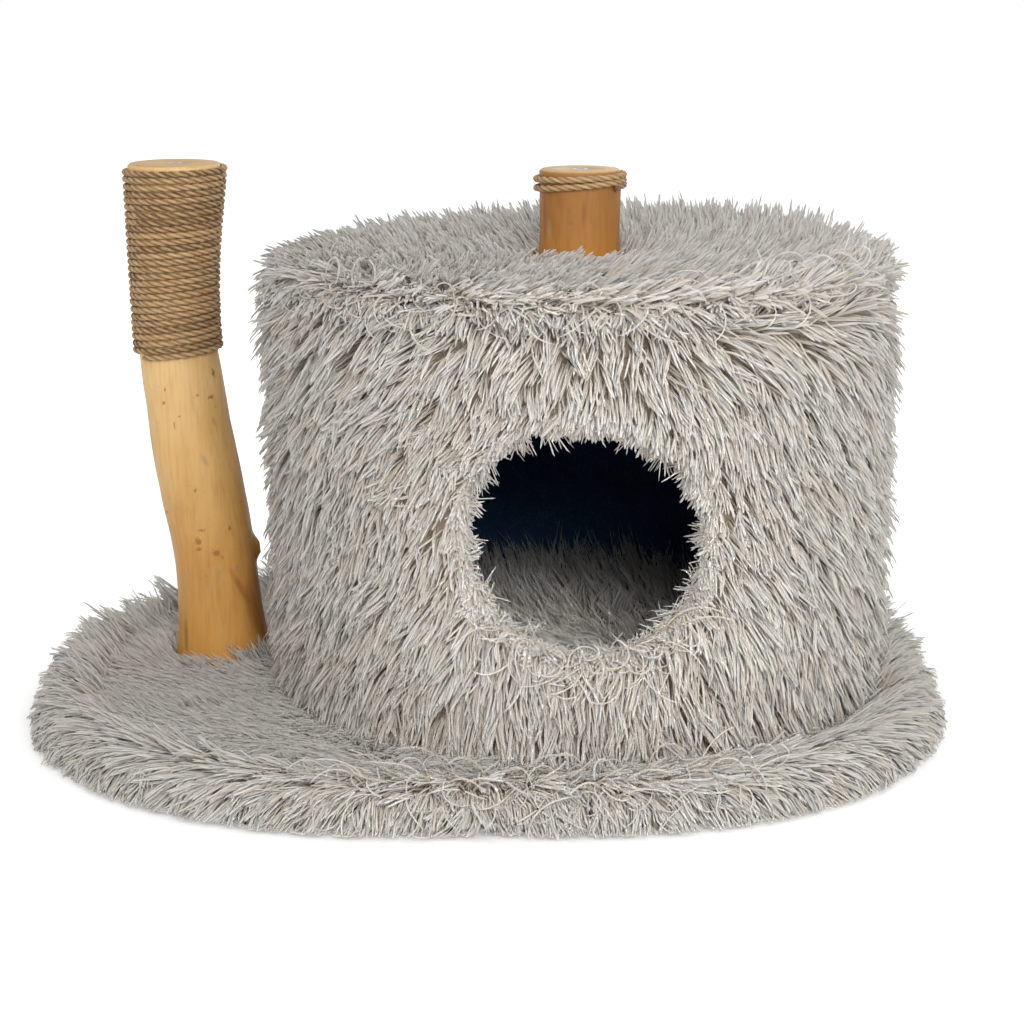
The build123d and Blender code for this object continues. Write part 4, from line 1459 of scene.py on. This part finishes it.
def rough_radius(way, turn, height, radius, seed, flutes):
    """Radius of a trunk's side: its mean radius with slow and fine waves, and flutes at the flared foot."""
    rise = np.broadcast_to(height[..., None] * 0.45, (len(height), TRUNK_COLUMNS, 1))
    round_place = np.concatenate([way[..., :2] * radius[..., None], rise], axis=-1)
    bumps = 0.55 * waves(round_place, 0.05, seed) + 0.2 * waves(round_place, 0.014, seed + 1)
    bumps = bumps + flutes * np.cos(7 * turn + 1.3 * np.cos(2 * turn)) * np.exp(-height / FLARE_HEIGHT)
    return radius + bumps * MM


def bore(way, shift, heights):
    """Rings of an upright bore, one at each height."""
    return [way * BORE_RADIUS + [shift, 0, height] for height in heights]


def add_mark(made, field, side, ends):
    """Attribute of a trunk: values all over its side, and one value in both bores."""
    bored = np.full((2, TRUNK_COLUMNS), ends)
    layer = made.data.attributes.new(field, "FLOAT", "POINT")
    layer.data.foreach_set("value", np.concatenate([bored, side, bored]).astype(np.float32).ravel())


def trunk(name, node, foot, stations, rows, seed, flutes, stub, marks, wood):
    """Peeled trunk: rings of points, from the foot's bore over the side to the top's bore.

    marks are groups of soft spots, and each group becomes an attribute that the wood reads.
    """
    stations = np.array(stations) * MM
    length = stations[-1, 0]
    turn = np.linspace(0, 2 * np.pi, TRUNK_COLUMNS, endpoint=False)[None, :]
    height = np.append(np.linspace(0, length - SAWN_EDGE, rows), length)[:, None]
    drift = smooth_through(stations[:, [0, 1]], height)
    radius = smooth_through(stations[:, [0, 2]], height) / 2
    way = level(np.cos(turn), np.sin(turn))
    sawn = np.where(height >= length, SAWN_EDGE, 0.0)
    rough = rough_radius(way, turn, height, radius, seed, flutes) - sawn
    if stub:
        rough = rough + STUB_RISE * held(1.6 * spot_field(turn, height, radius, [stub]) - 0.15)
    middle_line = np.stack(np.broadcast_arrays(drift, np.zeros_like(drift), height), axis=-1)
    low = bore(way, drift[0, 0], (BORE_DEPTH, 0.0))
    high = bore(way, drift[-1, 0], (length, length - BORE_DEPTH))
    points = np.concatenate([*low, way * rough[..., None] + middle_line, *high]) + foot
    faces = grid_faces(len(points), TRUNK_COLUMNS)
    first = np.arange(TRUNK_COLUMNS)
    last = (len(points) - 1) * TRUNK_COLUMNS + first
    made = mesh_object(name, points, [faces, first[None, ::-1], last[None]])
    for field, spots in marks.items():
        add_mark(made, field, spot_field(turn, height, radius, spots), 0.0)
    add_mark(made, "end_grain", np.broadcast_to(np.where(height >= length, 1.0, 0.0), rough.shape), 1.0)
    finish_piece(made, wood, node)
    print(f"{name}: {len(points)} rings, {2 * len(faces)} triangles")


# %% [markdown]
# ## Coffee wood
# What makes the trunks look real are single marks: groups of brown specks where twigs grew, grey
# bruises, and a dark streak that runs down beside the foot. The streak marks also paint shade: broad dark
# spots down the trunks' sides, where less light falls. Each is a soft spot in an attribute of the trunk,
# placed by its turn and height, and the material breaks it up with fine noise, which stays sharp close up
# and needs no painted picture. The wood itself changes from the foot to the top, under fine upright
# grain and a thin varnish, and its sawn end shows growth rings.

# %% Peeled coffee wood
GRAIN_WIDTH = 3.2 * MM
GRAIN_STRETCH = 0.07
CLOUD = 42 * MM
SPECK = 2.2 * MM
DOT_GAP = 13 * MM
GROWTH_RING = 2.4 * MM
GRAIN_TONES = [(0.3, "#ece4da"), (0.52, "#fbf9f6"), (0.75, "#ffffff")]
SAWN_TONES = [(0.0, "#b98d55"), (1.0, "#d9b884")]
# Each mark: its attribute, its colour, how far the fine noise breaks it up, and how strong it is
WOOD_MARKS = [
    # The streak's brown is a real streak by the foot and also painted shade down the trunks' sides
    ("streak_and_side_shade", "#8a4d17", 0.15, 0.55), ("bruise", "#9a8a68", 0.3, 0.5), ("specks", "#96622c", 0.75, 0.8),
]


def wood_body(tree, place, grain, foot, length, tones):
    """Plain wood: its tones from the foot to the top, in clouds, under the grain."""
    height = add_node(tree, "ShaderNodeSeparateXYZ", {0: place}).outputs["Z"]
    share = mapped(tree, height, (foot, foot + length))
    cloud = noise(tree, place, CLOUD, Detail=3.0)
    drifted = calculated(tree, "MULTIPLY_ADD", cloud, 0.55, share)
    settled = calculated(tree, "SUBTRACT", drifted, 0.275)
    steps = [(index / (len(tones) - 1), tone) for index, tone in enumerate(tones)]
    return blended(tree, 1.0, ramp(tree, settled, steps), ramp(tree, grain, GRAIN_TONES), "MULTIPLY")


def with_marks(tree, colour, place):
    """Wood with its marks, each broken up by fine noise inside its spot, and with small brown dots."""
    fine = noise(tree, place, SPECK, Detail=3.0, Roughness=0.7)
    for field, tone, broken, strength in WOOD_MARKS:
        mask = add_node(tree, "ShaderNodeAttribute", attribute_name=field).outputs["Fac"]
        noisy = calculated(tree, "MULTIPLY_ADD", fine, 2 * broken, -broken - 0.28 * broken)
        mixed = calculated(tree, "ADD", mask, noisy)
        edge = mapped(tree, mixed, (0.25, 0.25 + 0.6 - 0.45 * broken), (0.0, strength))
        inside = mapped(tree, mask, (0.05, 0.3))
        colour = blended(tree, calculated(tree, "MULTIPLY", edge, inside), colour, hex_colour(tone))
    dots = add_node(tree, "ShaderNodeTexVoronoi", {"Vector": place, "Scale": 1 / DOT_GAP})
    dotted = mapped(tree, dots.outputs["Distance"], (0.03, 0.075), (0.3, 0.0))
    return blended(tree, dotted, colour, hex_colour("#8a5a2a"))


def with_sawn_end(tree, colour, place, heart):
    """Wood whose sawn end shows growth rings about its heart."""
    centred = add_node(tree, "ShaderNodeMapping", {"Vector": place, "Location": (-heart[0], -heart[1], 0)})
    waved = {"Scale": 1 / (20 * GROWTH_RING) * 2 * np.pi, "Distortion": 1.6, "Detail": 2.0}
    rings = add_node(
        tree, "ShaderNodeTexWave", {"Vector": centred.outputs[0], **waved},
        wave_type="RINGS", rings_direction="Z",
    )
    end = add_node(tree, "ShaderNodeAttribute", attribute_name="end_grain").outputs["Fac"]
    return blended(tree, end, colour, ramp(tree, rings.outputs["Fac"], SAWN_TONES))


def coffee_wood(name, foot, length, tones, heart):
    """Peeled coffee wood under a thin varnish: smooth and satin, with fine upright grain and brown marks,
    some of which paint shade down its sides.

    tones are the colours from the foot to the top, and heart is the middle of the sawn end.
    """
    material, tree, shader = new_material(name, 0.46)
    place = add_node(tree, "ShaderNodeTexCoord").outputs["Object"]
    upright = add_node(tree, "ShaderNodeMapping", {"Vector": place, "Scale": (1, 1, GRAIN_STRETCH)})
    grain = noise(tree, upright.outputs[0], GRAIN_WIDTH, Detail=5.0, Roughness=0.62)
    colour = with_marks(tree, wood_body(tree, place, grain, foot, length, tones), place)
    bump = add_node(tree, "ShaderNodeBump", {"Height": grain, "Strength": 0.15, "Distance": 0.5 * MM})
    connect(tree, shader, {
        "Base Color": with_sawn_end(tree, colour, place, heart),
        "Roughness": mapped(tree, grain, (0.0, 1.0), (0.38, 0.6)),
        "Normal": bump.outputs[0],
        "Specular IOR Level": 0.4,
    })
    return material


# %% Stations and marks of the trunks
# Height above the foot, drift of the middle to the right, and diameter, in mm
LEFT_STATIONS = [
    (0, 0, 92), (21, -0.9, 87), (51, -2.9, 81.5), (117, -8.8, 79), (162, -16.6, 81.5), (192, -21.5, 81),
    (234, -27.8, 77), (279, -33.1, 75), (300, -35.5, 73.5), (359, -37.5, 73.5), (479, -34, 86.5),
]
HOUSE_STATIONS = [(0, 0, 77), (23, 0, 74), (55, 0, 73), (92, 0, 73.5)]
# A spot: turn from the front in degrees, height, half width and half height in mm, and a tilt if it has one
STUB = (96, 111, 9, 10)
LEFT_MARKS = {
    "specks": [
        (62, 284, 4, 5), (48, 263, 5, 2.5), (26, 266, 2, 2), (56, 254, 2.5, 2), (-20, 272, 2, 3),
        (-24, 259, 2, 2.5), (-4, 247, 2, 1.5), (-12, 238, 1.5, 5), (8, 219, 5, 1.2), (0, 176, 1.8, 1.8),
        (66, 160, 1.8, 1.8), (36, 138, 2.5, 3), (-4, 138, 6, 1), (-11, 126, 4.5, 5), (-12, 119, 5, 2),
        (10, 115, 5, 4), (18, 110, 2, 3), (50, 64, 2.5, 1.3), (-8, 92, 1.5, 2), (-60, 150, 3, 2),
        (140, 190, 5, 5), (-150, 240, 5, 4), (170, 90, 6, 6), (-120, 70, 4, 4),
    ],
    "bruise": [
        (38, 98, 3, 6), (10, 94, 2.5, 7), (46, 240, 2.5, 7, 20), (20, 205, 3, 8, 20), (-130, 130, 6, 9),
    ],
    # Streaks: the dark streak beside the foot, and broad spots down both sides that are painted shade
    "streak_and_side_shade": [
        (40, 78, 4, 26, 24), (64, 48, 13, 38, 15), (82, 70, 13, 64), (-50, 30, 4, 22), (150, 60, 6, 30),
        (-76, 235, 6, 60), (88, 200, 5, 60),
    ],
}
HOUSE_MARKS = {
    "specks": [
        (-34, 22, 3, 3), (-16, 58, 2, 3), (-14, 47, 3.5, 2), (6, 26, 2, 2), (120, 40, 4, 4),
        (-140, 50, 4, 4),
    ],
    "bruise": [(-50, 40, 3, 12), (160, 60, 5, 9)],
    # Streaks of the house trunk: a thin one in front, and spots at its sides that are painted shade
    "streak_and_side_shade": [(4, 55, 2.6, 14), (76, 45, 4, 30), (-62, 50, 4, 26), (-170, 40, 5, 20)],
}

# %% Both trunks
LEFT_TONES = ["#ca9345", "#cb9750", "#dcb170", "#e6c187"]
HOUSE_TONES = ["#bb7f30", "#a56f31", "#a06d35"]
post_foot = np.array([left_foot[0], left_foot[1], base_high])
house_post_foot = np.array([house_x, 0, house_top])
left_heart = np.array([left_foot[0] + LEFT_STATIONS[-1][1] * MM, left_foot[1]])
left_wood = coffee_wood("peeled_coffee_wood", base_high, 0.30, LEFT_TONES, left_heart)
house_wood = coffee_wood("peeled_coffee_wood_golden", house_top, 0.1, HOUSE_TONES, (house_x, 0.0))
trunk("left_trunk", "left_post", post_foot, LEFT_STATIONS, 150, 101, 0.9, STUB, LEFT_MARKS, left_wood)
trunk(
    "house_trunk", "house_post", house_post_foot, HOUSE_STATIONS, 44, 105, 0.3, None, HOUSE_MARKS, house_wood
)

# %% [markdown]
# ## Ropes
# The trunks are wound with three-strand jute rope, turn against turn. A bevelled curve would be a
# smooth tube, so the strands are modelled: a rope is a clover-shaped section carried along a helix
# round the trunk, and the section twists as it goes, so that each column of the grid follows one
# strand. The map runs round the rope and along a short length of it that repeats, and each third of a
# turn has one of a few tones.

# %% Laid rope
ROPE_RADIUS = 3.1 * MM
ROPE_PITCH = 6.25 * MM
ROPE_LAY = 28 * MM
ROPE_SLANT = 0.085
ROPE_COLUMNS = 15
ROPE_STEP = 2.4 * MM
ROPE_TONES = 8
ROPE_REPEAT = 64
ROPE_SWAY = 0.35 * MM
END_GAP = 0.6 * MM
LEAST_END_GAP = 0.2 * MM
FRAY = 4 * MM


def rope_line(foot, stations, turns, first_turn, seed):
    """Middle line of a winding up to just under the trunk's top, its ways out, and the turns done.

    It is the trunk's radius plus nearly half the rope away from the trunk's middle, goes once round in a
    pitch, and slants up to the right by ROPE_SLANT at the lower end.
    """
    length = stations[-1, 0]
    first = length - END_GAP - ROPE_RADIUS - turns * ROPE_PITCH
    girth_here = np.pi * (stations[-1, 2] + 2 * ROPE_RADIUS)
    done = np.linspace(0, turns, int(turns * girth_here / ROPE_STEP))
    height = first + done * ROPE_PITCH
    sway = ROPE_SWAY * waves(done[:, None], 0.9, seed)
    round_turn = turn_from_front(first_turn) + 2 * np.pi * done
    reach = smooth_through(stations[:, [0, 2]], height) / 2 + 0.93 * ROPE_RADIUS + 0.3 * sway
    way = level(np.cos(round_turn), np.sin(round_turn))
    line = way * reach[:, None] + foot
    line[:, 0] += smooth_through(stations[:, [0, 1]], height)
    slant = ROPE_SLANT * (1 - done / turns) * way[:, 0] * reach
    line[:, 2] += np.clip(height + sway + slant, None, length - ROPE_RADIUS - LEAST_END_GAP)
    return line, way, done


def rope_section(line, way, run):
    """Points of a laid rope: a clover, radius times (0.86 + 0.14 cos 3a), that turns once in a lay."""
    tangent = unit(np.gradient(line, axis=0))
    aside = unit(np.cross(tangent, way))
    out = np.cross(aside, tangent)
    angle = 2 * np.pi * np.arange(ROPE_COLUMNS) / ROPE_COLUMNS
    turned = angle + 2 * np.pi * run[:, None] / ROPE_LAY
    frayed = 1 + 0.16 * np.exp(-np.minimum(run, run[-1] - run) / FRAY)
    radius = ROPE_RADIUS * (0.86 + 0.14 * np.cos(3 * angle)) * frayed[:, None]
    round_way = np.cos(turned)[..., None] * out[:, None] + np.sin(turned)[..., None] * aside[:, None]
    return line[:, None] + radius[..., None] * round_way


def rope_map(faces, done, seed):
    """Map of a winding, corner by corner: a tone's column across, a repeat along, one place for the caps."""
    row, start = np.divmod(np.arange(faces), ROPE_COLUMNS)
    tones = np.random.default_rng(seed).integers(0, ROPE_TONES, int(done[-1] * 3) + 2)
    cell = tones[(done[row] * 3).astype(int)]
    across = (start[:, None] + [0, 1, 1, 0]) / ROPE_COLUMNS
    along = (row % ROPE_REPEAT)[:, None] + [0, 0, 1, 1]
    column = (cell[:, None] + 0.04 + 0.92 * across) / ROPE_TONES
    sides = np.stack([column, along / ROPE_REPEAT], axis=-1).reshape(-1, 2)
    return np.concatenate([sides, np.full((2 * ROPE_COLUMNS, 2), 0.5 / ROPE_TONES)])


def rope_winding(name, node, foot, stations, turns, first_turn, seed):
    """Rope wound up a trunk to just under its top."""
    line, way, done = rope_line(foot, np.array(stations) * MM, turns, first_turn, seed)
    run = np.concatenate([[0], np.cumsum(np.linalg.norm(np.diff(line, axis=0), axis=1))])
    faces = grid_faces(len(line), ROPE_COLUMNS)
    column = np.arange(ROPE_COLUMNS)
    caps = [column[None, ::-1], (len(line) - 1) * ROPE_COLUMNS + column[None]]
    uv = rope_map(len(faces), done, seed)
    made = mesh_object(name, rope_section(line, way, run), [faces, *caps], uv)
    finish_piece(made, jute_rope, node)
    print(f"{name}: {run[-1]:.2f} m of rope, {2 * len(faces)} triangles")


# %% Jute
FIBRE_STRETCH = (ROPE_TONES * 26, 16, 1)


def jute(name, dark, body, pale):
    """Jute yarn: matt, golden brown, with fine fibres along each strand, and painted shade where strands
    meet.
    """
    material, tree, shader = new_material(name, 0.9)
    place = add_node(tree, "ShaderNodeUVMap", uv_map=BAKE_MAP).outputs[0]
    fibres = add_node(tree, "ShaderNodeMapping", {"Vector": place, "Scale": FIBRE_STRETCH}).outputs[0]
    fibre = noise(tree, fibres, 1.0, Detail=4.0)
    across = add_node(tree, "ShaderNodeSeparateXYZ", {0: place}).outputs["X"]
    cell = calculated(tree, "MULTIPLY", across, ROPE_TONES)
    number = calculated(tree, "FLOOR", cell)
    tone = add_node(tree, "ShaderNodeTexWhiteNoise", {"W": number}, noise_dimensions="1D").outputs["Value"]
    both = calculated(tree, "MULTIPLY_ADD", tone, 0.22, fibre)
    # Painted shade: the colour is darker in the grooves where the rope's three strands meet
    turn = calculated(tree, "MULTIPLY", calculated(tree, "SUBTRACT", cell, number), 6 * np.pi)
    both = calculated(tree, "MULTIPLY_ADD", calculated(tree, "COSINE", turn), 0.2, both)
    bump = add_node(tree, "ShaderNodeBump", {"Height": fibre, "Strength": 0.6, "Distance": 0.4 * MM})
    connect(tree, shader, {
        "Base Color": ramp(tree, both, [(0.3, dark), (0.56, body), (0.86, pale)]),
        "Normal": bump.outputs[0],
        "Specular IOR Level": 0.2,
        "Sheen Weight": 0.15,
    })
    return material


jute_rope = jute("laid_jute_rope", "#5a4227", "#a17f58", "#c9a97e")
rope_winding("left_trunk_rope", "left_post_rope", post_foot, LEFT_STATIONS, 27.6, -45, 111)
rope_winding("house_trunk_rope", "house_post_rope", house_post_foot, HOUSE_STATIONS, 2.3, 52, 112)

# %% [markdown]
# ## Boards and fittings
# The CAD shapes of the hidden pieces are right as they are, so they only get finishes: chipboard for
# the boards, hardboard for the wall, zinc-plated steel for bolts, nuts, inserts and staples, and rubber
# for the pads.

# %% Finishes of the CAD pieces
ZINC_CLOUD = 3 * MM
RUBBER_GRAIN = 1.5 * MM


def pressed_board(name, flake, dark, body, pale, roughness):
    """Pressed wood: flakes of one size in several browns, matt, with a slightly uneven face."""
    material, tree, shader = new_material(name, roughness)
    place = add_node(tree, "ShaderNodeTexCoord").outputs["Object"]
    flakes = add_node(tree, "ShaderNodeTexVoronoi", {"Vector": place, "Scale": 1 / flake, "Randomness": 1.0})
    speck = noise(tree, place, flake / 2, Detail=4.0)
    shade = add_node(tree, "ShaderNodeSeparateColor", {0: flakes.outputs["Color"]}).outputs[0]
    both = add_node(tree, "ShaderNodeMix", {"Factor": 0.45, "A": shade, "B": speck}).outputs[0]
    colour = ramp(tree, both, [(0.15, dark), (0.5, body), (0.85, pale)])
    bump = add_node(tree, "ShaderNodeBump", {"Height": both, "Strength": 0.3, "Distance": 0.3 * MM})
    connect(tree, shader, {"Base Color": colour, "Normal": bump.outputs[0]})
    return material


def zinc_plate(name):
    """Zinc-plated steel: bluish grey metal, cloudy from the bath."""
    material, tree, shader = new_material(name, 0.35)
    place = add_node(tree, "ShaderNodeTexCoord").outputs["Object"]
    cloud = noise(tree, place, ZINC_CLOUD, Detail=4.0)
    colour = ramp(tree, cloud, [(0.3, "#a7a9a8"), (0.7, "#c9ccce")])
    polish = mapped(tree, cloud, (0.0, 1.0), (0.25, 0.5))
    connect(tree, shader, {"Base Color": colour, "Roughness": polish, "Metallic": 1.0})
    return material


def pad_rubber(name):
    """Black rubber pad: matt, with a fine moulded grain and grey dust."""
    material, tree, shader = new_material(name, 0.8)
    place = add_node(tree, "ShaderNodeTexCoord").outputs["Object"]
    grain = noise(tree, place, RUBBER_GRAIN, Detail=3.0)
    colour = ramp(tree, grain, [(0.35, "#141414"), (0.75, "#2b2a29")])
    bump = add_node(tree, "ShaderNodeBump", {"Height": grain, "Strength": 0.4, "Distance": 0.2 * MM})
    connect(tree, shader, {"Base Color": colour, "Normal": bump.outputs[0]})
    return material


FINISHES = {
    "board": pressed_board("raw_chipboard", 4 * MM, "#7c5f40", "#b8966c", "#d6bd97", 0.85),
    "hardboard": pressed_board("raw_hardboard", 1.2 * MM, "#4f331d", "#6f4b2c", "#8a6340", 0.7),
    "zinc_steel": zinc_plate("zinc_plated_steel"),
    "pad_rubber": pad_rubber("moulded_black_rubber"),
}
for subpart in frame["record"]["subparts"]:
    finish = FINISHES.get(subpart["material_slot"])
    if finish:
        nodes[subpart["node"]].data.materials.clear()
        nodes[subpart["node"]].data.materials.append(finish)
print("finishes:", ", ".join(FINISHES))
